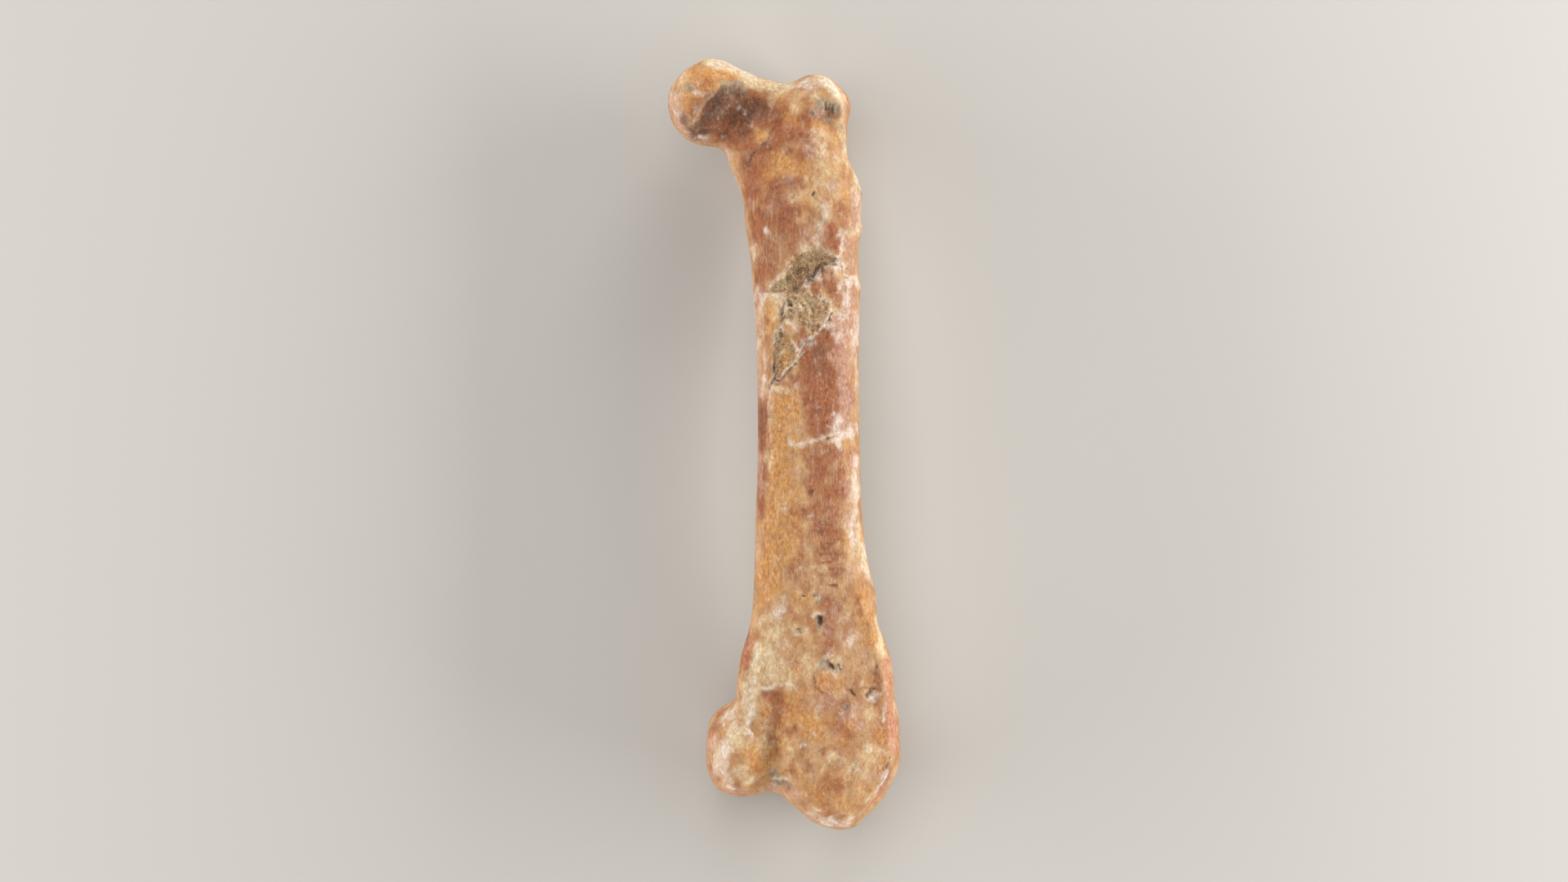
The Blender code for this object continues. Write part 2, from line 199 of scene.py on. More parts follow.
def near(points, line, reach):
    """The numbers of the points within reach of a line, and their distances to it."""
    low, high = line.min(axis=0) - reach, line.max(axis=0) + reach
    found = np.nonzero(((points > low) & (points < high)).all(axis=1))[0]
    around = points[found]
    distance = np.linalg.norm(around - line[0], axis=1)
    for a, b in zip(line, line[1:]):
        edge = b - a
        t = np.clip((around - a) @ edge / max(edge @ edge, TINY), 0, 1)
        distance = np.minimum(distance, np.linalg.norm(around - (a + t[:, None] * edge), axis=1))
    close = distance < reach
    return found[close], distance[close]


def smoothstep(t):
    """0 below 0, 1 above 1, and a soft rise between."""
    t = np.clip(t, 0, 1)
    return t * t * (3 - 2 * t)


print("a path of 10 mm gets", len(spaced([(0, 0), (10, 0)])), "points")

# %% [markdown]
# The break and the cracks
#
# Part of the shaft's front wall is lost. Three hollows hold old sediment, and between them lie plates of the
# wall that sank a little. Cracks run out from there. An outline or a path serves three times, for a finer
# net, for relief and for colour, so it's kept in one place. A hollow has an outline, the depth that the skin
# adds to the solid's and its share of sediment, a flake an outline and a height, and a crack a width, a depth
# and a path.

# %% Outlines of the hollows and paths of the cracks
UPPER_BREAK = [
    (0.3, 128.0), (2.3, 128.4), (3.9, 126.8), (6.4, 126.0), (6.2, 124.2), (4.1, 123.8), (2.3, 123.2),
    (1.5, 121.6), (0.5, 120.2), (-0.9, 119.4), (-2.8, 117.6), (-4.9, 118.1), (-7.9, 118.0),
    (-8.2, 119.2), (-6.3, 121.3), (-4.9, 122.7), (-4.4, 124.9), (-2.5, 126.8),
]
MIDDLE_BREAK = [
    (-4.9, 117.4), (-2.6, 117.4), (-0.6, 119.4), (0.6, 117.6), (2.4, 117.0), (4.6, 116.0), (4.6, 113.6),
    (3.4, 111.2), (2.0, 109.4), (0.8, 108.4), (-0.6, 110.6), (-3.2, 111.8), (-5.6, 111.6), (-5.2, 115.4),
]
LOWER_BREAK = [
    (-6.2, 110.2), (-4.3, 108.6), (-3.4, 107.0), (-2.6, 105.2), (-2.2, 104.6), (-3.2, 103.0), (-5.2, 101.2),
    (-6.0, 99.4), (-8.2, 97.8), (-7.9, 101.6), (-7.5, 105.0), (-7.2, 109.6),
]
OPEN_WALL = [
    (3.9, 127.2), (6.6, 126.4), (8.4, 124.0), (9.8, 120.0), (10.2, 112.0), (7.6, 110.4), (5.2, 111.4),
    (4.6, 116.6), (6.2, 118.4), (7.2, 120.6), (7.0, 122.6), (5.4, 124.2),
]
PEACH_FLAKE = [
    (-8.3, 97.7), (-7.8, 98.4), (-6.9, 97.8), (-4.5, 97.6), (-4.6, 96.9), (-5.9, 95.9), (-8.0, 97.0),
]
HOLLOWS = [
    (UPPER_BREAK, 0.35, 1.0),
    (MIDDLE_BREAK, 0.18, 0.6),
    (LOWER_BREAK, 0.16, 0.64),
    (OPEN_WALL, 0.06, 0.0),
]
FLAKES = [(PEACH_FLAKE, 0.3)]

CRACKS = [
    (0.8, 0.4, (3.4, 124.4), (2.2, 123.8), (1.4, 122.4)),
    (0.45, 0.15, (1.4, 122.4), (0.4, 120.7), (-0.6, 119.9)),
    (0.35, 0.12, (6.2, 124.2), (5.2, 124.2)),
    (0.45, 0.3, (-7.9, 118.8), (-7.2, 118.2), (-6.3, 118.4), (-5.2, 118.8)),
    (0.3, 0.4, (-5.4, 115.9), (-5.6, 114.6), (-5.7, 113.2)),
    (0.3, 0.2, (-5.6, 112.6), (-6.0, 111.8)),
    (0.35, 0.3, (-7.0, 110.2), (-6.2, 110.1)),
    (0.35, 0.2, (-7.0, 109.0), (-7.2, 107.6)),
    (0.35, 0.2, (-7.5, 104.4), (-7.5, 102.6), (-7.7, 100.8)),
    (0.4, 0.25, (-5.2, 99.8), (-6.0, 99.0), (-7.0, 98.8)),
    (0.4, 0.3, (-7.4, 99.2), (-8.1, 98.4), (-8.6, 97.0)),
    (0.35, 0.3, (4.9, 113.6), (4.4, 112.6)),
    (0.55, 0.35, (4.3, 112.2), (3.9, 111.2)),
    (0.4, 0.25, (3.6, 110.4), (2.3, 109.1)),
    (0.45, 0.2, (0.4, 107.4), (-0.6, 107.1)),
    (0.3, 0.2, (-1.5, 106.9), (-2.0, 106.1)),
    (0.35, 0.25, (-0.2, 105.3), (-1.0, 104.5)),
    (0.25, 0.15, (-1.6, 103.9), (-2.3, 103.4)),
    (0.4, 0.25, (-2.7, 102.7), (-3.1, 102.4)),
    (0.22, 0.15, (-3.5, 101.9), (-4.4, 101.1)),
    (0.22, 0.3, (3.9, 86.2), (4.7, 86.5), (5.6, 86.7)),
    (0.25, 0.25, (-14.0, 145.4), (-13.4, 146.6), (-12.7, 147.4), (-12.3, 148.5), (-11.4, 149.1)),
    (0.2, 0.12, (-11.4, 149.1), (-10.2, 150.1), (-8.8, 151.2), (-8.4, 153.0)),
    (0.2, 0.15, (1.0, 34.4), (1.3, 32.9)),
    (0.25, 0.25, (1.5, 32.3), (2.3, 31.6), (2.9, 31.0)),
    (0.2, 0.12, (2.9, 30.9), (4.2, 30.5)),
    (0.25, 0.2, (-6.4, 33.6), (-5.6, 32.9)),
    (0.2, 0.15, (11.0, 31.7), (12.4, 31.9), (13.9, 32.1)),
    (0.25, 0.2, (14.7, 37.4), (14.9, 36.2)),
    (0.25, 0.2, (14.6, 35.2), (14.3, 33.8), (13.8, 32.6)),
    (0.15, 0.15, (7.6, 21.4), (9.2, 21.3), (10.4, 21.4), (11.7, 21.3)),
]
print(len(HOLLOWS), "hollows and", len(CRACKS), "cracks")

# %% [markdown]
# Pits, lips and swells
#
# Smaller marks come in three kinds. A pit goes in and is dark inside, a lip stands up and is worn pale, and a
# swell only bends the surface, in or out. Each has a radius, a depth or height, and a path of one or more
# places. Blood vessels left some pits, digging and sea water the others.

# %% Pits: radius, depth, path
PITS = [
    # hip end and upper shaft
    (0.45, 0.3, (3.7, 159.6), (3.6, 158.2)),
    (0.4, 0.3, (4.6, 159.2), (4.4, 158.4)),
    (0.4, 0.15, (5.3, 160.0), (5.1, 157.6)),
    (0.35, 0.15, (5.9, 159.0), (6.0, 158.2)),
    (0.4, 0.2, (2.0, 163.1)),
    (0.35, 0.2, (2.3, 165.2)),
    (0.35, 0.2, (0.5, 165.1)),
    (0.4, 0.2, (2.4, 158.9)),
    (0.3, 0.3, (-19.0, 162.8)),
    (0.4, 0.35, (0.75, 139.4), (1.05, 140.1)),
    (0.4, 0.2, (-3.7, 138.7), (-3.1, 138.9)),
    (0.7, 0.4, (-4.2, 116.2), (-3.9, 115.4)),
    # the gathered holes above the knee
    (0.35, 0.3, (-1.8, 52.1), (-1.0, 51.9)),
    (0.5, 0.25, (1.0, 52.2), (1.2, 51.6)),
    (0.7, 0.3, (2.0, 47.2), (2.6, 47.2), (2.4, 46.2)),
    (0.5, 0.15, (2.3, 45.9), (2.4, 45.2)),
    (0.35, 0.15, (3.2, 44.7)),
    (0.35, 0.25, (-2.8, 44.8), (-2.1, 44.5), (-1.5, 44.0)),
    (0.3, 0.2, (-4.7, 37.1)),
    (0.4, 0.25, (4.1, 38.1), (4.4, 37.4), (4.8, 36.7), (5.4, 36.3)),
    (0.4, 0.25, (6.3, 37.0), (6.6, 36.4), (7.0, 35.9)),
    (0.5, 0.12, (2.6, 37.3), (2.8, 36.6)),
    (0.3, 0.15, (3.5, 37.6)),
    (0.3, 0.12, (5.6, 37.6)),
    (0.45, 0.12, (4.0, 34.8), (5.0, 34.7)),
    (0.5, 0.12, (6.9, 35.2)),
    (0.45, 0.3, (9.1, 31.6), (9.4, 30.9), (9.9, 30.4)),
    (0.4, 0.25, (13.2, 30.9), (14.2, 31.6)),
    (0.35, 0.2, (12.5, 30.2), (12.9, 29.8)),
    (0.35, 0.2, (-9.2, 31.2), (-7.8, 31.5)),
    # knee end
    (0.4, 0.15, (-1.3, 19.0), (-1.2, 18.3)),
    (0.35, 0.12, (5.2, 17.0), (4.8, 16.4), (5.4, 15.9)),
    (0.3, 0.12, (5.4, 13.2), (5.9, 12.6)),
    (0.35, 0.15, (10.2, 15.1), (9.4, 14.0)),
    (0.35, 0.2, (-8.0, 13.4), (-7.8, 12.4)),
    (0.35, 0.25, (17.3, 15.2), (16.8, 14.4)),
    (0.35, 0.25, (16.2, 12.0), (15.8, 11.4)),
    (0.25, 0.3, (16.8, 10.3)),
    (0.25, 0.2, (-17.5, 20.5)),
]
print(len(PITS), "pits, the deepest", max(depth for _, depth, *_ in PITS), "mm")

# %% Lips: radius, height, path
LIPS = [
    # under the ball, and on the chip of the upper shaft
    (0.45, 0.2, (-25.4, 152.2), (-23.8, 152.4), (-22.2, 152.3)),
    (0.4, 0.15, (-4.0, 137.8), (-3.2, 138.3)),
    # round the break
    (0.5, 0.25, (-9.3, 117.6), (-7.4, 117.4), (-5.8, 117.2)),
    (0.45, 0.15, (-8.8, 119.2), (-7.6, 120.7), (-6.3, 121.9), (-5.2, 122.9), (-4.9, 124.8)),
    (0.5, 0.2, (4.2, 126.6), (6.4, 125.6), (7.4, 124.2), (7.6, 122.8)),
    (0.4, 0.15, (-3.2, 110.9), (-2.5, 109.7)),
    (0.3, 0.15, (-3.4, 107.4), (-2.8, 106.4), (-2.2, 105.4)),
    (0.35, 0.25, (-1.2, 105.0), (-2.4, 104.2)),
    (0.4, 0.3, (-3.1, 102.9), (-4.2, 102.0), (-5.1, 101.2), (-5.6, 100.3)),
    (0.4, 0.25, (3.1, 110.9), (2.2, 109.8), (1.2, 108.8), (0.4, 108.1)),
    (0.35, 0.15, (4.7, 114.6), (4.1, 113.0)),
    (0.5, 0.25, (7.8, 122.0), (9.0, 121.2), (10.6, 120.6)),
    (0.35, 0.12, (2.6, 123.0), (2.5, 121.2), (2.9, 119.4)),
    (0.35, 0.12, (7.3, 121.0), (6.6, 119.0), (5.4, 118.0)),
    # the salt-filled hairline along the shaft and the vein across it
    (0.3, 0.08, (-8.1, 97.4), (-8.8, 94.0), (-8.9, 91.0), (-8.4, 88.0), (-8.1, 85.0)),
    (0.4, 0.08, (-1.6, 84.7), (-0.4, 85.7), (2.4, 86.0)),
    (0.4, 0.1, (3.0, 86.5), (5.6, 87.1), (8.6, 87.1), (10.4, 88.5)),
    (0.4, 0.1, (6.2, 86.2), (6.9, 84.4)),
    # above the knee
    (0.4, 0.12, (3.0, 35.3), (4.8, 35.4), (5.5, 34.6), (6.5, 34.0)),
    (0.3, 0.08, (2.0, 36.8), (2.3, 38.0), (3.2, 38.8), (4.2, 39.2), (5.2, 39.0), (6.3, 38.3)),
    (0.3, 0.08, (3.4, 38.2), (4.6, 38.6)),
    (0.3, 0.1, (0.9, 47.0), (1.2, 48.0), (2.3, 48.2), (3.3, 48.1)),
    (0.4, 0.12, (-10.8, 31.9), (-9.2, 31.7), (-8.0, 32.1)),
    (0.35, 0.12, (-7.6, 32.4), (-6.3, 32.6), (-5.6, 33.0)),
    (0.35, 0.1, (-8.4, 35.2), (-7.4, 34.4)),
    (0.3, 0.1, (2.6, 31.4), (3.6, 31.0), (4.4, 30.6)),
    (0.35, 0.2, (13.0, 29.7), (14.2, 29.8), (14.9, 30.8)),
    (0.35, 0.1, (-3.0, 43.8), (-2.1, 43.6)),
    (0.45, 0.12, (9.0, 25.6), (10.0, 26.1)),
    # three crumbs on the inner knuckle, and the broken edge of the outer ridge
    (0.35, 0.2, (-13.3, 24.6), (-13.5, 23.9)),
    (0.45, 0.25, (-13.3, 22.3), (-12.6, 21.8)),
    (0.45, 0.2, (-18.7, 24.0)),
    (0.4, 0.3, (17.9, 17.0), (17.8, 15.8)),
    (0.45, 0.3, (17.1, 13.7), (16.6, 12.5)),
    (0.4, 0.25, (15.7, 10.8), (14.8, 10.2)),
    (0.35, 0.3, (13.5, 9.0), (12.8, 7.6), (12.2, 6.6)),
]
print(len(LIPS), "lips, the highest", max(height for _, height, *_ in LIPS), "mm")

# %% Swells: radius, depth (below 0 it rises), path
SWELLS = [
    # the step from the skin of the ball down to the neck, and the fold under the ball
    (
        1.5, 0.3,
        (-17.2, 163.6), (-18.9, 162.0), (-19.8, 160.6), (-21.4, 159.6), (-22.5, 158.2), (-23.0, 156.8),
    ),
    (0.9, 0.25, (-23.2, 157.2), (-24.2, 155.5), (-25.4, 154.2)),
    (0.45, 0.25, (-26.4, 153.2), (-25.0, 152.9), (-23.5, 153.1), (-22.0, 153.1)),
    # the trochanter's outer facet
    (0.8, -0.25, (4.2, 163.6), (5.9, 161.6), (7.1, 160.0), (7.3, 158.0), (7.2, 156.0), (7.6, 154.4)),
    (1.4, 0.25, (4.4, 155.2)),
    # sunken plates between the hollows
    (0.6, 0.2, (3.0, 123.3), (2.9, 121.2), (3.2, 119.4), (4.4, 118.4)),
    (0.6, 0.2, (7.4, 121.4), (6.8, 119.6), (5.6, 118.6), (4.4, 118.4)),
    (1.9, -0.2, (5.1, 121.1)),
    (0.4, 0.2, (0.9, 119.9), (0.8, 118.2), (1.0, 117.2)),
    (0.4, 0.2, (2.7, 120.4), (2.6, 118.6), (2.4, 117.2)),
    (0.8, -0.3, (-7.6, 97.5), (-6.4, 96.9), (-4.8, 96.6)),
    (0.6, -0.15, (8.2, 120.2), (8.3, 117.6), (8.1, 115.0), (8.5, 112.6)),
    # wrinkles across the fibres of the lower shaft
    (0.35, 0.1, (3.0, 63.4), (5.8, 63.3)),
    (0.35, 0.1, (2.4, 61.1), (4.6, 61.1)),
    (0.35, 0.08, (4.8, 60.3), (6.0, 60.2)),
    (0.35, 0.08, (2.8, 59.3), (4.4, 59.4)),
    (0.35, 0.12, (4.8, 57.5), (7.0, 57.7)),
    (0.35, 0.1, (4.6, 54.3), (6.0, 54.3)),
    # soft dips on the knee end
    (0.9, 0.15, (8.2, 28.0)),
    (0.6, 0.15, (-2.4, 28.2), (-1.7, 27.4)),
    (0.7, 0.2, (-8.6, 10.9), (-6.4, 11.2)),
    (0.5, 0.12, (4.4, 3.2), (6.0, 2.9)),
]
print(len(SWELLS), "swells")

# %% [markdown]
# Stains
#
# A fossil's colours are stains, one over another, each with its own mineral, and a few strokes paint shade
# and highlights as well. They are laid on as a model maker does with thin washes. A stroke has an amount, a
# radius where it has faded to half, and a path.
# Its edges are soft here, because the material breaks them up later with noise.

# %% Honey: lightly iron-stained, golden wall
STAINS = {}
STAINS["honey"] = [
    # hip end
    (0.7, 1.8, (-25.4, 160.0), (-26.2, 157.4)), (0.7, 1.8, (-5.0, 156.6), (-1.0, 155.2)),
    (0.6, 1.6, (-6.0, 143.6), (-10.4, 143.4)), (0.5, 1.6, (-11.6, 146.0)),
    (0.8, 1.8, (-23.0, 163.6), (-20.6, 162.6)), (0.85, 3.0, (-24.0, 166.5), (-19.0, 166.5)),
    (0.6, 2.0, (-24.5, 160.5)), (0.6, 1.6, (-10.5, 163.2), (-12.5, 162.5)), (0.5, 1.6, (-6.0, 160.5)),
    (0.55, 1.2, (-12.3, 151.5), (-10.0, 152.5)), (0.85, 1.9, (-8.0, 147.5), (-4.0, 146.5), (-1.5, 145.0)),
    (0.7, 1.4, (-5.5, 144.0)), (0.6, 1.2, (-9.5, 144.5)), (0.6, 1.4, (-23.0, 162.6), (-21.6, 164.4)),
    (0.5, 1.0, (-1.5, 137.5), (-3.0, 135.5)), (0.6, 1.3, (0.5, 140.5)), (0.5, 1.2, (7.2, 140.0)),
    (0.5, 1.6, (2.0, 154.0)), (0.5, 1.2, (6.0, 152.5)),
    # shaft
    (0.75, 1.4, (-7.6, 116.8), (-8.1, 111.0)), (0.6, 1.2, (-4.5, 110.5)),
    (0.7, 1.3, (-5.0, 107.0), (-5.4, 103.5)), (0.7, 1.1, (-2.2, 109.0)),
    (0.95, 2.4, (-5.5, 95.5), (-5.0, 90.0), (-5.8, 86.0)), (0.9, 2.3, (-7.5, 83.0), (-7.8, 77.0)),
    (0.6, 2.0, (-4.5, 79.0), (-5.0, 73.0)), (0.8, 2.4, (-8.0, 71.0), (-7.6, 62.0), (-8.6, 56.0)),
    (0.7, 1.8, (-3.5, 74.5), (-3.0, 64.0)), (0.6, 1.6, (-2.0, 84.0)),
    (0.8, 2.0, (-9.5, 56.0), (-8.8, 51.0)), (0.6, 1.8, (-3.5, 61.0)), (0.5, 1.6, (7.5, 64.5)),
    (0.95, 1.5, (11.8, 52.0), (12.6, 47.0), (13.4, 42.5)), (0.8, 0.8, (14.0, 40.5)),
    (0.5, 1.8, (-3.0, 52.0)),
    # knee end
    (0.6, 1.8, (2.6, 33.6), (5.6, 32.4)), (0.6, 1.8, (-6.0, 29.0), (-6.4, 22.0)),
    (0.45, 2.0, (-8.0, 42.0)), (0.5, 1.6, (-3.0, 37.5)), (0.6, 1.6, (3.5, 33.0)),
    (0.9, 2.2, (-3.0, 26.5), (0.5, 24.5), (1.0, 22.0)), (0.6, 1.6, (-3.0, 30.0)),
    (0.8, 1.8, (8.0, 22.0), (9.0, 24.0)), (0.8, 2.0, (-12.2, 18.5), (-11.2, 14.5)),
    (0.9, 1.6, (-8.6, 27.0), (-8.4, 16.0)), (0.5, 1.2, (-17.5, 22.0)),
    (0.95, 1.0, (15.8, 22.0), (16.0, 17.5), (15.4, 14.0)), (0.7, 2.0, (4.5, 12.0), (2.5, 9.0)),
    (0.5, 1.4, (-2.0, 13.0)), (0.7, 1.6, (12.0, 9.0)), (0.6, 1.8, (7.0, 7.0)), (0.6, 1.5, (-5.0, 20.0)),
]
print(len(STAINS["honey"]), "strokes")

# %% Cream: pale wall along crests and facets, with painted highlights where the light catches them
STAINS["cream"] = [
    # hip end, with painted highlights along the top of the ball and the trochanter's crest
    (0.5, 1.5, (1.8, 152.6), (2.6, 149.6)), (0.3, 1.4, (-3.2, 157.6)),
    (0.5, 1.4, (-20.2, 168.4), (-17.6, 167.8)), (0.4, 1.3, (1.0, 141.2)), (0.4, 1.2, (-2.0, 153.2)),
    (0.5, 1.2, (-12.6, 163.4), (-4.6, 163.6)), (0.45, 1.0, (-2.2, 153.0), (0.4, 152.6)),
    (0.4, 1.2, (2.2, 160.8)),
    (
        0.97, 1.4,
        (-22.0, 169.2), (-19.0, 168.8), (-16.5, 167.8), (-14.0, 166.0), (-11.5, 164.9), (-8.0, 164.2),
        (-5.0, 164.0),
    ),
    (0.6, 1.6, (-7.0, 162.6)), (0.5, 1.8, (-29.0, 163.0), (-27.5, 166.5)), (0.6, 1.2, (-29.5, 160.4)),
    (0.98, 1.5, (3.2, 165.4), (5.0, 163.6), (6.6, 162.0), (7.4, 160.6)),
    (0.6, 0.7, (7.4, 157.6), (7.2, 155.0)), (0.8, 0.8, (7.4, 153.6), (7.9, 150.0), (8.8, 146.6)),
    (0.3, 1.6, (2.2, 153.0), (3.2, 149.0)), (0.4, 1.8, (3.6, 145.0), (4.4, 142.5)),
    (0.5, 1.6, (6.5, 148.0)), (0.7, 1.0, (10.0, 144.6), (10.9, 141.5)), (0.3, 1.5, (1.0, 139.0)),
    (0.5, 0.9, (11.0, 134.0), (11.2, 131.5)), (0.45, 1.4, (9.0, 132.0)),
    (0.5, 0.6, (-13.3, 133.0), (-12.9, 129.6)),
    # shaft
    (0.45, 1.2, (-0.4, 127.2), (1.0, 126.6)), (0.4, 0.8, (-5.8, 119.6)),
    (0.5, 1.5, (-2.0, 115.0), (1.0, 113.0), (3.0, 114.5)), (0.6, 0.9, (-6.8, 119.4), (-5.2, 120.0)),
    (0.7, 1.0, (-6.0, 106.6), (-6.2, 105.0)), (0.6, 1.2, (-7.2, 115.0), (-7.0, 113.0)),
    (0.4, 1.0, (-3.0, 110.2)), (0.5, 1.6, (-10.2, 130.0), (-9.6, 126.0)), (0.4, 1.2, (-5.0, 130.2)),
    (0.4, 0.9, (1.2, 127.4), (3.0, 126.8)), (0.6, 0.8, (4.4, 125.7), (6.2, 125.3)),
    (0.6, 0.8, (6.6, 124.6), (7.6, 122.0)), (0.6, 0.8, (-6.0, 117.2), (-8.5, 117.4)),
    (0.95, 0.7, (-7.6, 97.5), (-5.2, 96.7)), (0.5, 0.7, (-5.7, 112.4), (-4.5, 111.6)),
    (0.5, 0.6, (-4.6, 102.8), (-3.4, 103.6)), (0.5, 1.3, (-9.6, 83.5), (-9.4, 79.0)),
    (0.6, 0.9, (9.8, 79.5), (10.1, 76.0), (10.5, 73.0)),
    (0.7, 0.9, (11.0, 67.0), (12.0, 60.5), (12.8, 56.5)), (0.45, 1.6, (10.0, 62.0)),
    (0.4, 1.6, (-5.5, 71.0)), (0.35, 1.6, (-2.0, 62.5)), (0.45, 2.0, (1.5, 57.5), (3.5, 56.0)),
    # knee end, with a painted highlight on the outer ridge's facet
    (0.5, 1.4, (-8.2, 24.6), (-8.0, 21.0)), (0.4, 1.4, (15.4, 17.6)), (0.4, 1.2, (7.2, 23.2)),
    (0.4, 1.2, (13.2, 49.8)), (0.6, 2.6, (-7.4, 46.0), (-8.0, 36.5)), (0.5, 1.6, (-6.2, 51.0)),
    (0.7, 1.6, (-10.4, 40.0), (-12.6, 34.4)), (0.4, 2.0, (-0.5, 39.0)),
    (0.5, 1.8, (-9.5, 34.2), (-4.5, 33.8)), (0.5, 1.4, (-7.0, 48.5)), (0.45, 1.6, (9.0, 42.5)),
    (0.97, 1.1, (14.9, 45.8), (15.7, 43.0), (16.3, 39.0)), (0.6, 0.7, (17.0, 38.4), (17.6, 36.0)),
    (0.75, 1.7, (-12.6, 33.0), (-13.2, 29.0), (-13.6, 25.0)), (0.8, 1.6, (-15.0, 22.5), (-17.0, 19.0)),
    (0.7, 1.2, (-20.8, 19.4)), (0.5, 1.8, (-11.5, 20.0)), (0.45, 1.0, (-8.6, 21.0), (-8.4, 17.0)),
    (0.6, 0.5, (0.9, 47.4), (1.6, 48.2), (2.9, 48.3)), (0.55, 2.2, (12.5, 18.0), (12.0, 14.0)),
    (0.4, 1.6, (13.0, 25.5)), (0.5, 0.7, (18.8, 28.0), (19.1, 25.0)), (0.4, 1.2, (-3.6, 18.4)),
    (0.45, 1.6, (3.0, 3.6), (8.0, 2.8)), (0.6, 2.0, (-14.5, 12.5)), (0.6, 1.2, (12.5, 7.6)),
    (0.5, 0.7, (-17.5, 27.8)), (0.5, 1.5, (0.0, 35.5)), (0.4, 1.6, (7.5, 47.5)),
]
print(len(STAINS["cream"]), "strokes")

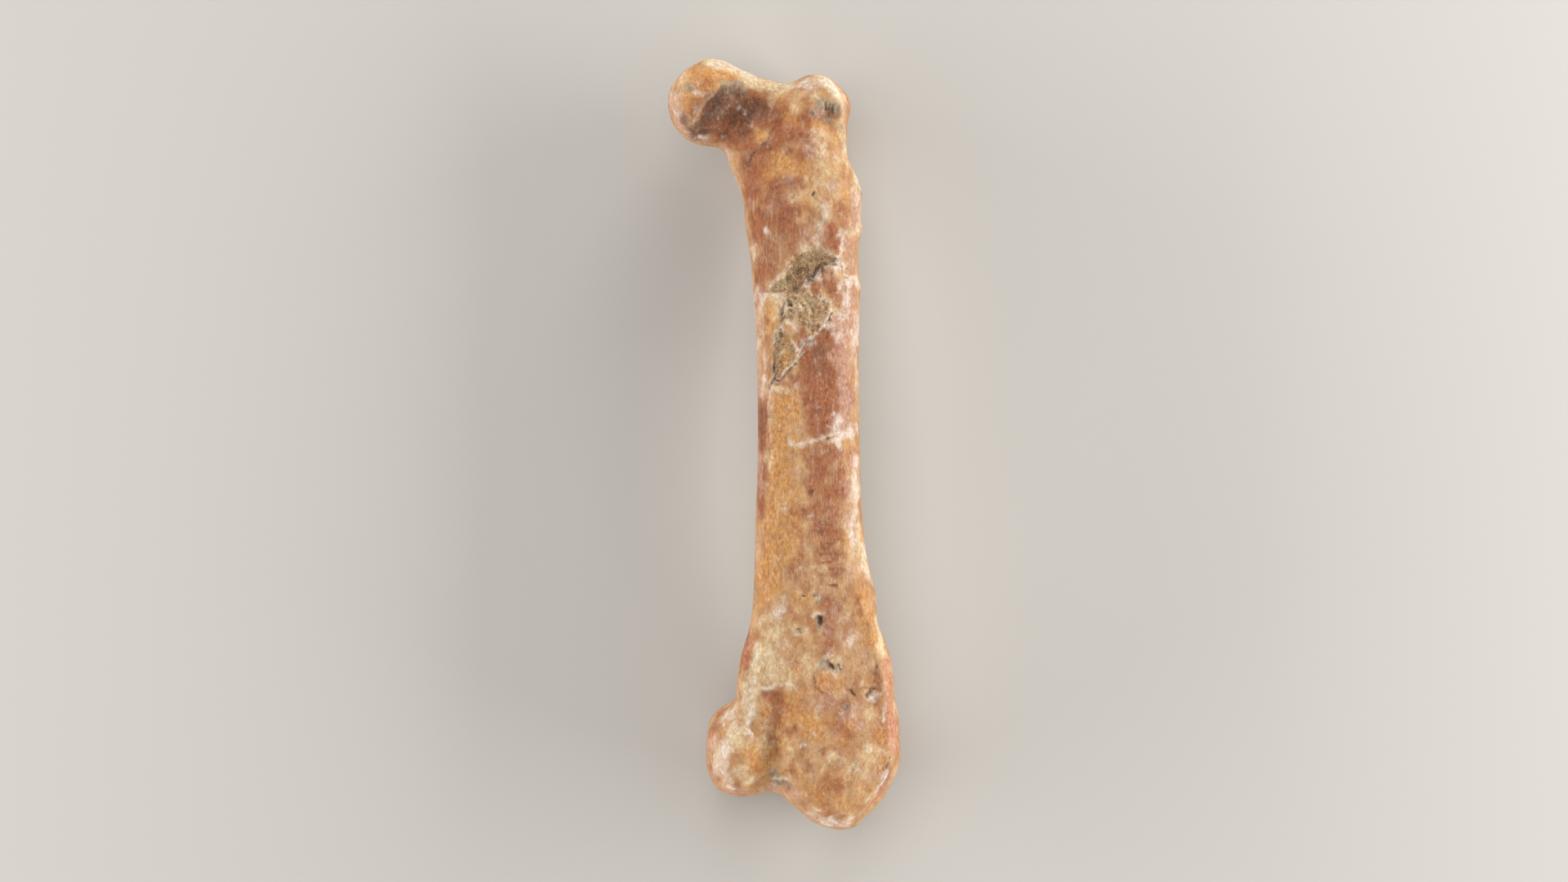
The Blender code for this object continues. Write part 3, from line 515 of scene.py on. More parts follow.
# %% Rust: red-brown, where iron gathered
STAINS["rust"] = [
    # hip end
    (0.8, 1.4, (-22.6, 156.2), (-20.4, 154.8)), (0.3, 1.5, (-22.2, 163.2)), (0.3, 1.6, (-25.2, 159.4)),
    (0.5, 1.4, (-18.6, 152.8)), (0.5, 1.5, (-6.2, 154.2), (-6.8, 152.4)),
    (0.5, 1.4, (-7.2, 140.4), (-6.8, 138.6)), (0.4, 1.2, (-13.4, 145.6)), (0.6, 1.4, (-6.4, 154.2)),
    (0.6, 1.2, (-9.0, 149.6)), (0.5, 1.2, (-13.2, 146.4)), (0.5, 1.2, (-0.8, 148.6)),
    (0.6, 1.4, (-7.2, 140.2)), (0.45, 1.2, (8.2, 158.2)),
    (0.97, 2.8, (-20.8, 157.4), (-17.0, 156.4), (-12.5, 156.8)),
    (0.9, 2.2, (-19.0, 154.0), (-14.5, 152.0)), (0.4, 1.4, (-23.6, 160.2), (-24.4, 158.4)),
    (0.7, 1.6, (-13.5, 162.0), (-10.5, 160.5)), (0.85, 2.0, (-9.8, 156.6), (-7.0, 155.2)),
    (0.8, 1.8, (-6.5, 153.5), (-1.5, 152.6)), (0.6, 1.8, (-6.0, 159.0)),
    (0.95, 1.7, (-9.8, 149.2), (-7.5, 151.0)), (0.85, 1.9, (-13.4, 149.0), (-12.0, 144.5)),
    (0.8, 1.9, (-1.0, 156.5), (1.4, 157.4)), (0.6, 1.2, (4.6, 154.6)), (0.5, 1.6, (-9.0, 145.6)),
    (0.8, 1.4, (-1.8, 148.6), (0.0, 149.0)), (0.6, 1.2, (-4.5, 149.0)),
    (0.9, 2.5, (-12.0, 142.0), (-11.3, 136.0), (-11.0, 131.5)), (0.98, 1.6, (-7.2, 141.8), (-7.0, 138.2)),
    (0.6, 2.0, (-7.6, 134.5), (-7.2, 131.0)), (0.85, 1.8, (-5.0, 135.5), (-4.6, 132.0)),
    (0.65, 2.0, (-2.5, 131.5), (-3.5, 127.5)), (0.65, 1.2, (-4.4, 142.4), (-1.4, 141.8)),
    (0.5, 1.4, (-3.0, 136.5)), (0.45, 1.4, (0.5, 134.5), (0.0, 131.0)), (0.7, 1.6, (6.6, 136.5)),
    (0.15, 1.4, (3.2, 148.6), (3.0, 152.0)), (0.5, 1.2, (9.6, 135.4)),
    # shaft
    (0.6, 1.4, (-1.0, 107.0), (-0.2, 105.8)), (0.5, 1.3, (5.2, 92.2), (4.8, 90.6)),
    (0.5, 1.4, (8.2, 96.6)), (0.6, 1.2, (5.0, 121.4)), (0.6, 1.3, (-1.2, 107.2)),
    (0.6, 1.3, (8.2, 96.2), (7.8, 94.8)), (0.4, 1.2, (-10.6, 87.0), (-10.6, 84.6)),
    (0.4, 1.2, (-9.4, 70.4)), (0.6, 0.3, (3.0, 63.4), (5.8, 63.3)), (0.5, 0.25, (3.0, 62.4), (4.4, 62.2)),
    (0.6, 0.25, (2.4, 61.1), (4.8, 61.1)), (0.6, 0.25, (4.6, 60.3), (6.0, 60.2)),
    (0.5, 0.25, (2.8, 59.3), (4.6, 59.4)), (0.6, 0.3, (4.6, 57.5), (7.0, 57.7)),
    (0.5, 0.25, (5.0, 56.7), (6.6, 56.6)), (0.6, 0.25, (4.4, 54.3), (6.2, 54.3)),
    (0.8, 2.0, (-8.5, 127.5), (-9.3, 123.0)), (0.8, 1.4, (-11.0, 122.5), (-10.8, 118.8)),
    (0.97, 1.7, (5.2, 131.4), (5.2, 128.2)), (1.0, 1.8, (4.9, 122.2), (5.2, 119.8)),
    (0.9, 1.0, (1.7, 119.6), (1.8, 117.6)), (0.5, 1.1, (-2.0, 121.0)), (0.6, 1.0, (-9.2, 112.5)),
    (0.5, 1.0, (-8.8, 109.0)), (0.9, 1.7, (-1.5, 108.6), (-0.2, 107.0)), (0.5, 1.0, (2.2, 113.8)),
    (1.0, 2.6, (3.8, 108.0), (3.2, 104.5), (1.6, 103.0)), (0.98, 2.0, (0.6, 104.4), (0.2, 101.6)),
    (0.98, 2.5, (4.0, 100.5), (3.4, 95.6)), (0.9, 2.0, (0.8, 99.0), (0.4, 96.0)), (0.7, 1.4, (-3.5, 99.0)),
    (0.6, 1.2, (-7.0, 99.5)), (0.5, 1.4, (6.2, 106.0)), (0.95, 2.1, (7.6, 99.4), (8.2, 94.4)),
    (0.5, 1.2, (7.6, 102.6)), (1.0, 2.3, (1.2, 95.5), (1.6, 91.5), (1.8, 88.5)),
    (0.95, 1.9, (4.2, 94.0), (4.6, 90.0)), (0.7, 1.6, (-1.2, 93.5)), (0.6, 1.2, (2.4, 85.4)),
    (1.0, 1.5, (-10.5, 94.0), (-10.4, 84.4)), (0.85, 1.1, (-10.3, 81.0), (-10.5, 74.0), (-10.9, 69.0)),
    (0.65, 2.2, (2.0, 83.0), (5.5, 83.5)), (0.7, 2.2, (2.5, 79.0), (6.0, 79.5)),
    (0.75, 2.2, (3.0, 75.5), (6.5, 75.0)), (0.9, 1.3, (7.1, 74.0)), (0.7, 1.6, (0.2, 76.4)),
    (0.97, 0.8, (0.4, 74.9)), (0.7, 2.0, (1.0, 71.0), (5.0, 71.0)), (0.8, 1.6, (-1.9, 69.8)),
    (0.95, 1.9, (2.2, 66.4), (4.4, 66.0)), (0.6, 1.4, (-1.0, 64.6)), (0.6, 1.2, (-3.2, 66.5)),
    (0.5, 1.0, (-8.2, 65.0)), (0.5, 1.0, (8.8, 83.5)), (0.55, 1.8, (2.5, 63.0), (5.0, 63.5)),
    (0.5, 0.3, (2.6, 63.3), (5.2, 63.4)), (0.5, 0.3, (3.0, 62.4), (4.4, 62.2)),
    (0.5, 0.3, (2.8, 61.2), (5.4, 61.0)), (0.5, 0.3, (3.6, 60.2), (5.6, 60.3)),
    (0.5, 0.3, (3.0, 59.2), (4.8, 59.3)), (0.5, 0.3, (4.4, 57.8), (6.6, 57.8)),
    (0.5, 0.3, (5.0, 56.8), (6.8, 56.6)), (0.5, 0.3, (4.4, 54.4), (6.1, 54.2)), (0.85, 1.2, (6.2, 61.2)),
    (0.6, 1.6, (3.6, 60.5)), (0.75, 1.1, (6.8, 58.0)), (0.5, 1.2, (-1.8, 60.2)), (0.5, 1.6, (5.0, 56.0)),
    (0.6, 1.8, (-2.4, 57.6)), (0.5, 1.6, (0.0, 54.6)), (0.75, 0.8, (10.4, 52.0), (11.2, 48.6)),
    (0.4, 0.7, (12.4, 45.6)), (0.5, 1.0, (8.0, 51.0)),
    # knee end
    (0.2, 1.6, (-8.4, 30.0), (-8.4, 23.0)), (0.4, 0.7, (14.6, 35.2), (14.9, 33.0)),
    (0.5, 1.4, (4.2, 6.4), (4.0, 3.4)), (0.25, 1.0, (1.2, 34.2)), (0.4, 1.2, (2.2, 18.4)),
    (0.5, 1.2, (-3.2, 23.4)), (0.6, 0.9, (16.8, 12.6)), (0.4, 1.0, (-14.0, 38.0), (-13.6, 34.0)),
    (0.7, 1.6, (4.5, 50.6), (4.8, 42.0), (4.6, 40.0)), (0.5, 1.6, (0.2, 45.5)),
    (0.5, 1.2, (9.2, 47.6), (9.4, 44.6)), (0.8, 1.3, (-12.9, 48.5), (-13.8, 42.0), (-14.2, 36.0)),
    (0.75, 1.1, (-9.0, 30.4), (-6.4, 30.2)), (0.15, 1.3, (-8.0, 27.5), (-7.5, 24.5)),
    (0.35, 1.4, (-6.6, 29.0), (-7.0, 21.0)), (0.2, 0.9, (-8.0, 21.0), (-8.2, 18.0)),
    (0.2, 1.2, (-4.5, 22.5)), (0.5, 1.4, (-2.0, 28.5)), (0.7, 1.4, (4.2, 28.8)), (0.6, 1.2, (8.0, 28.0)),
    (0.45, 1.2, (9.0, 21.6)), (0.5, 1.2, (14.3, 29.0)), (0.4, 0.9, (14.0, 33.0)), (0.55, 1.2, (8.8, 30.8)),
    (0.5, 1.2, (-1.0, 19.0)), (0.6, 0.6, (3.0, 18.4), (4.6, 19.3), (5.6, 18.6)), (0.55, 1.2, (0.0, 15.2)),
    (0.5, 1.6, (3.5, 13.0), (3.4, 9.0)), (0.6, 1.4, (7.0, 28.0), (6.6, 23.4)), (0.6, 1.2, (6.6, 10.5)),
    (0.6, 1.0, (-3.6, 13.6)), (0.8, 0.9, (-4.3, 9.4)), (0.5, 1.0, (7.0, 3.8)),
    (0.7, 1.0, (-19.6, 25.6), (-20.8, 23.0)), (0.7, 0.8, (-21.4, 21.0), (-21.4, 18.6)),
    (0.5, 1.2, (-16.0, 10.0)), (0.6, 1.2, (17.0, 12.6), (16.0, 9.6)),
    (0.5, 1.4, (-21.4, 14.6), (-20.4, 12.4)),
]
print(len(STAINS["rust"]), "strokes")

# %% Salmon: pink-red wall where the surface turns to the outer side
STAINS["salmon"] = [
    (0.9, 1.1, (8.9, 160.4), (8.7, 157.8), (8.3, 155.0)), (0.5, 1.2, (7.4, 148.5)),
    (0.4, 1.2, (8.5, 142.0)), (0.5, 1.2, (10.2, 130.0)), (0.8, 1.0, (9.6, 84.5), (9.8, 80.5)),
    (0.5, 1.2, (12.0, 55.5)), (0.8, 1.4, (17.2, 37.0), (17.3, 34.0), (17.5, 31.0), (17.8, 26.6)),
    (0.9, 1.7, (18.2, 24.4), (18.4, 21.6), (18.5, 18.4)),
    (0.7, 0.9, (17.8, 12.5), (16.2, 9.0), (14.2, 6.4)), (0.7, 1.3, (-21.6, 21.4), (-21.4, 18.6)),
    (0.6, 1.2, (-20.0, 26.0), (-18.6, 26.6)), (0.5, 1.4, (-13.4, 43.0), (-14.2, 37.0)),
]
print(len(STAINS["salmon"]), "strokes")

# %% Mauve: dusty pink, weathered outer wall
STAINS["mauve"] = [
    # hip end
    (0.4, 1.2, (9.2, 129.2)), (0.8, 1.1, (-30.3, 161.5), (-29.6, 157.5), (-28.0, 155.0)),
    (0.85, 1.5, (-27.4, 156.2), (-25.6, 153.6)), (0.8, 1.2, (-26.4, 152.6), (-22.4, 152.2)),
    (0.5, 0.9, (-19.0, 150.5), (-16.6, 146.5), (-15.2, 142.0)), (0.6, 1.6, (-12.0, 157.5)),
    (0.5, 1.4, (2.4, 157.5)), (0.6, 1.6, (-0.4, 149.0), (1.0, 150.0)), (0.6, 1.5, (1.6, 158.4)),
    (0.6, 1.2, (-5.0, 142.8)), (0.55, 1.2, (-8.2, 136.5)), (0.55, 1.0, (-12.8, 138.0)),
    (0.5, 1.0, (-8.5, 131.0)), (0.6, 1.1, (3.6, 138.0)), (0.7, 1.4, (9.6, 138.0), (9.4, 133.5)),
    (0.6, 1.2, (8.4, 158.4)), (0.25, 1.3, (2.6, 152.4), (3.6, 147.4)), (0.4, 1.2, (-3.6, 162.6)),
    (0.5, 1.4, (0.0, 131.5)),
    # shaft
    (0.5, 1.2, (9.4, 113.6)), (0.6, 1.3, (9.2, 113.4), (9.0, 111.0)),
    (0.75, 1.3, (8.0, 130.0), (9.6, 127.0), (9.8, 123.5)), (0.5, 1.2, (-11.8, 128.0)),
    (0.85, 1.8, (8.8, 119.0), (9.4, 112.0)), (0.85, 2.2, (8.4, 108.0), (7.6, 103.0)),
    (0.5, 1.8, (8.0, 101.0), (8.0, 96.0)), (0.7, 1.4, (5.6, 113.0), (5.6, 110.5)),
    (0.6, 0.9, (-11.0, 118.5), (-10.8, 109.0)), (0.5, 1.0, (10.0, 60.0), (9.6, 57.0)),
    (0.6, 1.0, (-10.6, 105.0), (-10.0, 96.0)), (0.8, 1.5, (7.6, 97.0), (8.0, 93.0), (7.4, 88.0)),
    (0.5, 0.8, (-10.8, 83.0), (-10.8, 73.0)), (0.6, 1.4, (8.2, 77.5), (8.6, 73.0)),
    (0.5, 1.2, (7.0, 82.0)), (0.45, 1.6, (-2.0, 78.5)), (0.55, 1.3, (8.3, 69.0), (9.5, 66.5)),
    (0.5, 1.2, (0.3, 69.0)), (0.6, 0.8, (-11.4, 66.0), (-11.6, 56.0)),
    (0.5, 0.9, (-12.4, 51.0), (-12.6, 49.0)),
    # knee end
    (0.4, 1.4, (-4.6, 52.0)), (0.4, 1.4, (6.0, 49.0)), (0.45, 1.2, (-15.0, 30.0)), (0.4, 1.6, (5.5, 21.0)),
    (0.5, 1.4, (10.0, 27.5)), (0.7, 0.9, (-21.4, 16.4), (-20.6, 13.0)),
    (0.7, 1.0, (-18.6, 9.4), (-12.5, 8.6)), (0.6, 1.0, (-9.0, 9.6), (-6.4, 8.8)),
    (0.75, 1.2, (-4.6, 10.5), (-3.0, 8.0)), (0.7, 1.0, (-1.0, 4.6), (1.0, 2.8), (8.4, 1.6)),
    (0.4, 2.4, (5.0, 46.0), (10.0, 40.0)), (0.4, 2.4, (3.0, 29.0), (12.0, 24.0)), (0.3, 2.2, (-5.0, 41.0)),
    (0.35, 2.0, (13.0, 12.0)), (0.5, 1.2, (16.5, 12.5)),
]
print(len(STAINS["mauve"]), "strokes")

# %% Grey: manganese and clay, blue-grey to olive
STAINS["grey"] = [
    # hip end
    (0.6, 0.9, (-17.2, 162.6), (-16.0, 162.4)), (0.85, 1.2, (-26.0, 163.2)), (0.4, 0.6, (-25.6, 160.4)),
    (0.97, 1.7, (-18.2, 162.4), (-15.0, 163.0)), (0.5, 1.3, (-13.5, 148.5)), (0.5, 1.2, (-1.0, 163.5)),
    (0.5, 1.2, (0.8, 161.8)), (0.7, 1.0, (3.0, 161.0)),
    (0.85, 1.1, (2.6, 159.6), (5.0, 159.8), (6.0, 158.2)), (0.6, 1.0, (4.0, 156.4)),
    (0.5, 1.4, (1.2, 157.6)), (0.5, 0.9, (-4.6, 142.4)), (0.55, 1.2, (2.6, 136.0), (2.4, 131.6)),
    # shaft
    (0.3, 1.0, (-3.0, 88.2)), (0.6, 1.0, (3.2, 127.2)), (0.8, 0.8, (3.3, 124.3), (1.2, 122.0)),
    (0.85, 0.9, (-4.0, 115.9)), (0.5, 0.9, (-4.6, 112.4)),
    (0.6, 0.6, (-0.2, 107.0), (1.6, 108.8), (3.7, 111.0)), (0.5, 0.8, (-7.0, 109.0)),
    (0.4, 0.9, (-9.8, 97.5)), (0.4, 0.9, (-9.9, 84.0)), (0.4, 1.1, (8.9, 75.5)),
    # knee end
    (0.8, 0.8, (2.0, 47.2), (2.6, 47.2)), (0.7, 0.6, (2.4, 46.4), (2.3, 45.2)),
    (0.5, 0.6, (13.2, 30.0), (14.0, 29.2)), (0.4, 0.35, (3.2, 34.7), (4.8, 34.6)),
    (0.5, 0.9, (-7.0, 11.4), (-4.2, 10.4)), (0.5, 1.0, (2.5, 51.4)), (0.5, 1.0, (-6.6, 49.6)),
    (0.97, 0.7, (2.3, 47.0), (2.4, 45.6)), (0.5, 0.9, (-2.4, 44.4)), (0.6, 1.2, (4.0, 38.0)),
    (0.7, 0.9, (3.5, 36.6), (6.4, 35.4)), (0.6, 0.9, (-8.5, 31.7)), (0.7, 1.0, (13.7, 30.4)),
    (0.85, 1.0, (8.2, 27.6)), (0.6, 0.8, (-12.2, 24.0)), (0.4, 0.7, (-11.4, 26.0)),
    (0.35, 0.9, (-14.5, 13.6)), (0.6, 0.8, (4.6, 14.4)), (0.75, 0.8, (9.9, 14.4)),
    (0.6, 0.9, (-17.0, 12.8)), (0.8, 1.0, (-7.9, 13.0)), (0.8, 0.8, (-8.4, 10.8), (-6.2, 10.9)),
    (0.5, 0.7, (5.2, 3.0)), (0.4, 0.8, (-11.4, 40.5), (-11.4, 36.5)),
]
print(len(STAINS["grey"]), "strokes")

# %% Umber: dark stain and painted shade in the neck's hollow, painted shade under the ball, dirt and painted shadow in the break, and dirt and painted shade at the knee
STAINS["umber"] = [
    # hip end: the neck's hollow is dark stain and painted shade, and the strokes under the ball are painted
    # shade
    (0.3, 1.2, (-8.8, 149.8)), (0.25, 1.2, (-25.2, 159.2), (-26.4, 156.8)),
    (0.6, 1.0, (-25.2, 153.0), (-22.4, 153.4)), (0.35, 0.9, (-17.2, 162.4)), (0.3, 1.2, (0.8, 157.4)),
    (0.25, 1.0, (8.4, 157.6)), (0.25, 1.4, (-18.0, 152.6), (-14.0, 153.0)),
    (0.8, 0.9, (-25.0, 153.6), (-22.6, 153.8)), (0.35, 1.2, (-27.4, 155.6)),
    (0.7, 0.3, (-14.0, 145.5), (-13.4, 146.6), (-12.6, 147.6), (-12.2, 148.5)),
    (0.5, 0.3, (-12.2, 148.5), (-10.4, 150.4), (-8.7, 151.6), (-8.5, 153.2), (-7.2, 154.7)),
    (0.4, 0.4, (-7.0, 155.5), (-6.0, 155.7)), (0.4, 1.0, (4.2, 158.2)), (0.3, 1.0, (-14.2, 153.2)),
    (0.85, 1.9, (-20.2, 160.0), (-22.0, 157.6)), (0.75, 2.7, (-18.5, 158.8), (-13.8, 159.0)),
    (0.45, 2.0, (-11.0, 158.2), (-8.5, 157.4)), (0.6, 1.6, (-18.0, 161.8), (-15.5, 161.8)),
    (0.5, 1.8, (-19.5, 155.8), (-14.0, 155.4)), (0.9, 1.4, (-25.8, 153.9), (-23.4, 154.8)),
    (0.55, 1.4, (-27.6, 156.4)), (0.35, 1.3, (1.0, 157.6)), (0.3, 1.0, (8.4, 158.0)),
    (0.45, 1.2, (-18.6, 152.8)), (0.4, 1.2, (-13.2, 146.5)), (0.45, 1.5, (-6.5, 157.4)),
    (0.4, 1.4, (-14.0, 152.6)), (0.35, 1.0, (-9.5, 149.4)), (0.6, 1.0, (4.6, 157.8)),
    (0.5, 0.5, (2.2, 164.2)),
    # shaft: dirt in the break and the wrinkles, and painted shadow along the sunken plates' edges in the
    # upper hollow
    (0.8, 0.25, (4.1, 86.2), (4.8, 86.5), (5.4, 86.6)), (0.7, 0.9, (-1.0, 123.4), (-2.6, 122.6)),
    (0.85, 1.1, (2.2, 123.4), (0.6, 121.2)), (0.5, 1.0, (-1.6, 119.4), (-4.0, 118.6)),
    (0.5, 0.5, (-6.8, 118.3), (-5.4, 118.4)), (0.4, 0.7, (-2.8, 118.8)),
    (0.6, 0.6, (-5.6, 115.0), (-5.9, 112.0)), (0.5, 0.5, (-7.2, 109.5), (-7.5, 104.0), (-7.8, 100.4)),
    (0.6, 0.7, (-6.8, 99.0)), (0.5, 0.4, (3.9, 112.0)), (0.45, 0.5, (4.0, 82.8)), (0.5, 0.3, (-9.7, 62.3)),
    (0.3, 0.22, (2.6, 63.3), (5.2, 63.4)), (0.3, 0.22, (2.8, 61.2), (5.4, 61.0)),
    (0.3, 0.22, (3.0, 59.2), (4.8, 59.3)), (0.3, 0.22, (4.4, 57.8), (6.6, 57.8)),
    (0.3, 0.22, (4.4, 54.4), (6.1, 54.2)), (0.7, 0.45, (0.1, 75.0), (1.0, 74.7)),
    # knee end, with painted shade down the left edge
    (0.25, 0.9, (-14.4, 41.0), (-14.8, 36.4)), (0.6, 0.55, (2.1, 47.3), (2.6, 47.2)),
    (0.6, 0.5, (4.4, 37.3), (5.2, 36.3)), (0.4, 0.3, (4.0, 38.2), (3.7, 37.6)),
    (0.6, 0.35, (6.5, 36.9), (7.1, 36.0)), (0.35, 0.35, (2.5, 37.5), (2.6, 36.6)),
    (0.7, 0.4, (9.1, 31.5), (9.5, 30.7), (10.0, 30.2)),
    (0.6, 0.4, (14.4, 31.9), (13.4, 31.3), (12.8, 30.2)), (0.35, 0.3, (11.0, 31.7), (13.6, 32.2)),
    (0.55, 0.25, (-2.8, 44.7), (-2.1, 44.5), (-1.5, 44.0)),
    (0.5, 0.25, (1.4, 32.3), (2.1, 31.7), (2.7, 31.0)), (0.35, 0.2, (1.0, 34.4), (1.3, 33.0)),
    (0.4, 0.3, (14.7, 37.4), (14.8, 36.0)), (0.5, 0.3, (-1.5, 52.1), (-0.9, 51.9)),
    (0.4, 0.4, (1.0, 52.1)), (0.4, 1.3, (-7.2, 11.4), (-4.2, 10.0)), (0.3, 1.0, (4.2, 3.2)),
    (0.5, 0.8, (17.1, 12.0)), (0.6, 0.6, (1.5, 52.0)), (0.6, 0.7, (4.6, 36.8)), (0.6, 0.6, (13.6, 31.4)),
    (0.4, 0.4, (14.2, 33.0), (14.8, 36.6)), (0.5, 1.3, (-10.6, 92.0), (-10.6, 85.6)),
    (0.3, 1.2, (8.2, 96.0)), (0.55, 0.8, (-7.4, 30.8)), (0.2, 0.7, (-7.0, 25.0), (-7.4, 19.0)),
    (0.4, 0.4, (-7.2, 18.6)), (0.7, 1.2, (-12.8, 47.4), (-13.6, 42.5)),
    (0.5, 1.8, (3.0, 106.0), (1.4, 102.6)), (0.45, 1.6, (4.4, 100.6)), (0.3, 1.4, (1.6, 92.4)),
    (0.3, 1.0, (5.0, 121.0)), (0.5, 0.5, (-3.0, 23.4)), (0.5, 0.8, (8.3, 27.8)),
    (0.4, 0.4, (-0.6, 20.0), (0.2, 20.1)), (0.5, 0.5, (7.6, 3.8)),
]
print(len(STAINS["umber"]), "strokes")

# %% Chalk: salts and worn fibres, white to pale pink, with painted highlights on the ball's top, facets, crumbs and edges
STAINS["chalk"] = [
    # hip end, with painted highlights on the ball's top and the trochanter's facet
    (0.5, 0.8, (-5.0, 163.8), (0.4, 163.8)), (0.6, 1.0, (5.8, 162.8), (6.6, 161.4)),
    (0.7, 0.7, (-24.8, 162.0), (-23.4, 161.4)), (0.6, 0.9, (-19.6, 169.8), (-14.2, 166.9), (-12.0, 165.9)),
    (0.5, 1.6, (-1.4, 164.0), (2.2, 164.6)), (0.9, 1.1, (4.4, 164.4), (6.4, 162.4)),
    (0.45, 1.2, (-21.4, 168.8), (-17.4, 168.2)), (0.4, 2.0, (-29.3, 158.0), (-28.6, 164.0)),
    (0.5, 0.5, (-1.2, 155.6), (-1.5, 153.8)), (0.5, 0.8, (-4.6, 163.8)),
    (0.5, 1.0, (3.0, 136.4), (2.4, 131.0), (2.3, 128.8)), (0.4, 1.6, (5.4, 141.0)),
    (0.5, 1.2, (9.6, 142.4), (10.0, 138.0)), (0.5, 0.9, (7.4, 131.0), (7.4, 125.5)),
    (0.5, 0.7, (-11.6, 128.2), (-11.9, 125.6)), (0.5, 0.4, (-9.5, 132.4), (-9.1, 130.9)),
    # shaft, with painted rim highlights along both edges
    (0.4, 0.9, (8.2, 124.2)), (0.5, 0.8, (9.6, 120.8)), (0.4, 0.7, (-3.4, 85.2), (-2.2, 84.8)),
    (0.7, 0.8, (9.0, 120.4), (10.4, 120.2)), (0.3, 0.9, (7.6, 116.2)),
    (0.45, 0.5, (-4.2, 85.2), (-2.4, 84.6)), (0.5, 0.3, (-6.7, 84.9), (-6.3, 84.5)),
    (0.4, 0.5, (10.0, 80.6)), (0.5, 0.8, (5.8, 86.4), (9.2, 87.4)), (0.5, 0.7, (6.2, 85.6), (6.8, 84.2)),
    (0.4, 0.6, (6.4, 90.6), (5.6, 88.8)), (0.35, 0.5, (-2.4, 88.0)),
    (0.6, 0.6, (-9.8, 117.2), (-10.8, 114.8)), (0.9, 1.0, (8.6, 121.0), (10.6, 120.6)),
    (0.4, 0.8, (7.8, 124.0)), (0.4, 1.2, (6.2, 110.4)), (0.7, 1.3, (7.6, 118.5), (7.8, 113.5)),
    (0.5, 0.8, (6.6, 124.0)), (0.45, 0.7, (1.8, 122.2)), (0.5, 0.6, (-2.0, 115.0), (-3.0, 113.4)),
    (0.5, 0.7, (0.4, 111.6)), (0.4, 0.5, (-9.6, 105.2), (-9.4, 101.6), (-9.8, 98.0)),
    (0.55, 0.8, (7.4, 100.8)), (0.5, 1.2, (6.8, 108.0)),
    (0.5, 1.0, (10.2, 114.0), (10.4, 104.0), (10.4, 97.0)), (0.5, 1.2, (11.2, 134.0), (11.6, 139.0)),
    (0.5, 1.2, (-11.6, 118.0), (-11.4, 104.0)), (0.5, 0.7, (-10.3, 99.0), (-10.2, 96.0)),
    (0.5, 1.1, (6.4, 91.5), (6.2, 88.0)), (0.5, 1.2, (8.4, 88.2), (10.0, 89.5)),
    (0.5, 0.7, (6.6, 86.6), (9.4, 87.2)), (0.4, 0.6, (6.2, 85.4), (6.9, 84.2)),
    (0.35, 0.6, (-1.8, 84.8), (1.2, 85.9)), (0.35, 0.6, (-2.3, 88.0)),
    (0.65, 1.4, (10.2, 82.0), (10.5, 74.0)), (0.5, 1.3, (10.2, 70.5), (10.6, 65.0)),
    (0.35, 1.2, (12.2, 59.6), (12.6, 56.6)), (0.6, 0.9, (9.2, 65.2), (9.4, 63.4)),
    (0.6, 0.6, (11.9, 63.6), (12.4, 60.2)), (0.6, 0.5, (0.3, 69.2)),
    # knee end, with painted highlights on the inner knuckle's crumbs and the outer edge
    (0.35, 0.9, (-12.6, 25.2)), (0.3, 0.9, (9.4, 44.6)), (0.5, 0.8, (13.8, 29.7), (15.2, 30.8)),
    (0.35, 1.2, (-13.4, 28.8)), (0.35, 1.2, (-16.6, 24.4), (-16.8, 19.4)),
    (0.4, 0.6, (9.0, 42.4), (9.1, 41.6)), (0.4, 0.4, (-3.4, 43.8), (-2.2, 43.4)),
    (0.5, 0.5, (7.2, 31.3), (7.8, 30.9)), (0.55, 0.8, (-5.4, 51.4)),
    (0.6, 1.0, (-6.0, 49.0), (-8.0, 47.6)), (0.4, 0.5, (-10.7, 46.9), (-10.9, 44.0)),
    (0.4, 0.5, (-11.5, 41.6), (-11.4, 38.6)), (0.6, 0.5, (2.2, 51.8)), (0.7, 0.8, (8.8, 42.4)),
    (0.3, 0.7, (7.0, 43.2)), (0.3, 0.8, (10.6, 43.4)), (0.5, 0.9, (-12.0, 33.5)), (0.6, 0.5, (11.6, 32.9)),
    (0.5, 0.9, (-12.6, 37.0)), (0.55, 1.0, (-16.0, 27.5), (-18.0, 26.0)),
    (0.65, 1.3, (-18.0, 19.4), (-18.6, 13.4), (-17.6, 10.4)), (0.5, 1.5, (-13.0, 29.6), (-12.6, 24.6)),
    (0.5, 0.9, (-14.0, 22.0)), (0.95, 0.4, (-13.3, 22.4), (-12.7, 22.0)),
    (0.8, 0.3, (-13.4, 24.5), (-13.4, 23.9)), (0.8, 0.35, (-18.6, 23.6)),
    (0.45, 1.1, (-20.8, 20.6), (-20.6, 14.0)), (0.5, 0.4, (-7.4, 11.9), (-4.9, 11.8)),
    (0.5, 0.7, (-2.8, 10.6)), (0.5, 0.4, (-2.2, 15.0), (-1.2, 13.1)),
    (0.5, 0.3, (-2.1, 18.6), (-1.6, 19.6), (-0.7, 19.6), (-0.4, 18.8)),
    (0.5, 0.3, (4.5, 17.0), (5.3, 17.8), (6.1, 17.0)), (0.4, 0.6, (4.2, 14.5)),
    (0.5, 0.4, (9.2, 25.6), (9.8, 26.0)), (0.55, 1.4, (1.4, 4.4), (4.0, 2.6)),
    (0.6, 1.1, (4.0, 2.4), (8.6, 1.8)), (0.7, 0.4, (16.6, 28.0), (16.2, 24.4)),
    (0.5, 0.9, (14.0, 8.5), (16.4, 12.6)),
]
print(len(STAINS["chalk"]), "strokes")

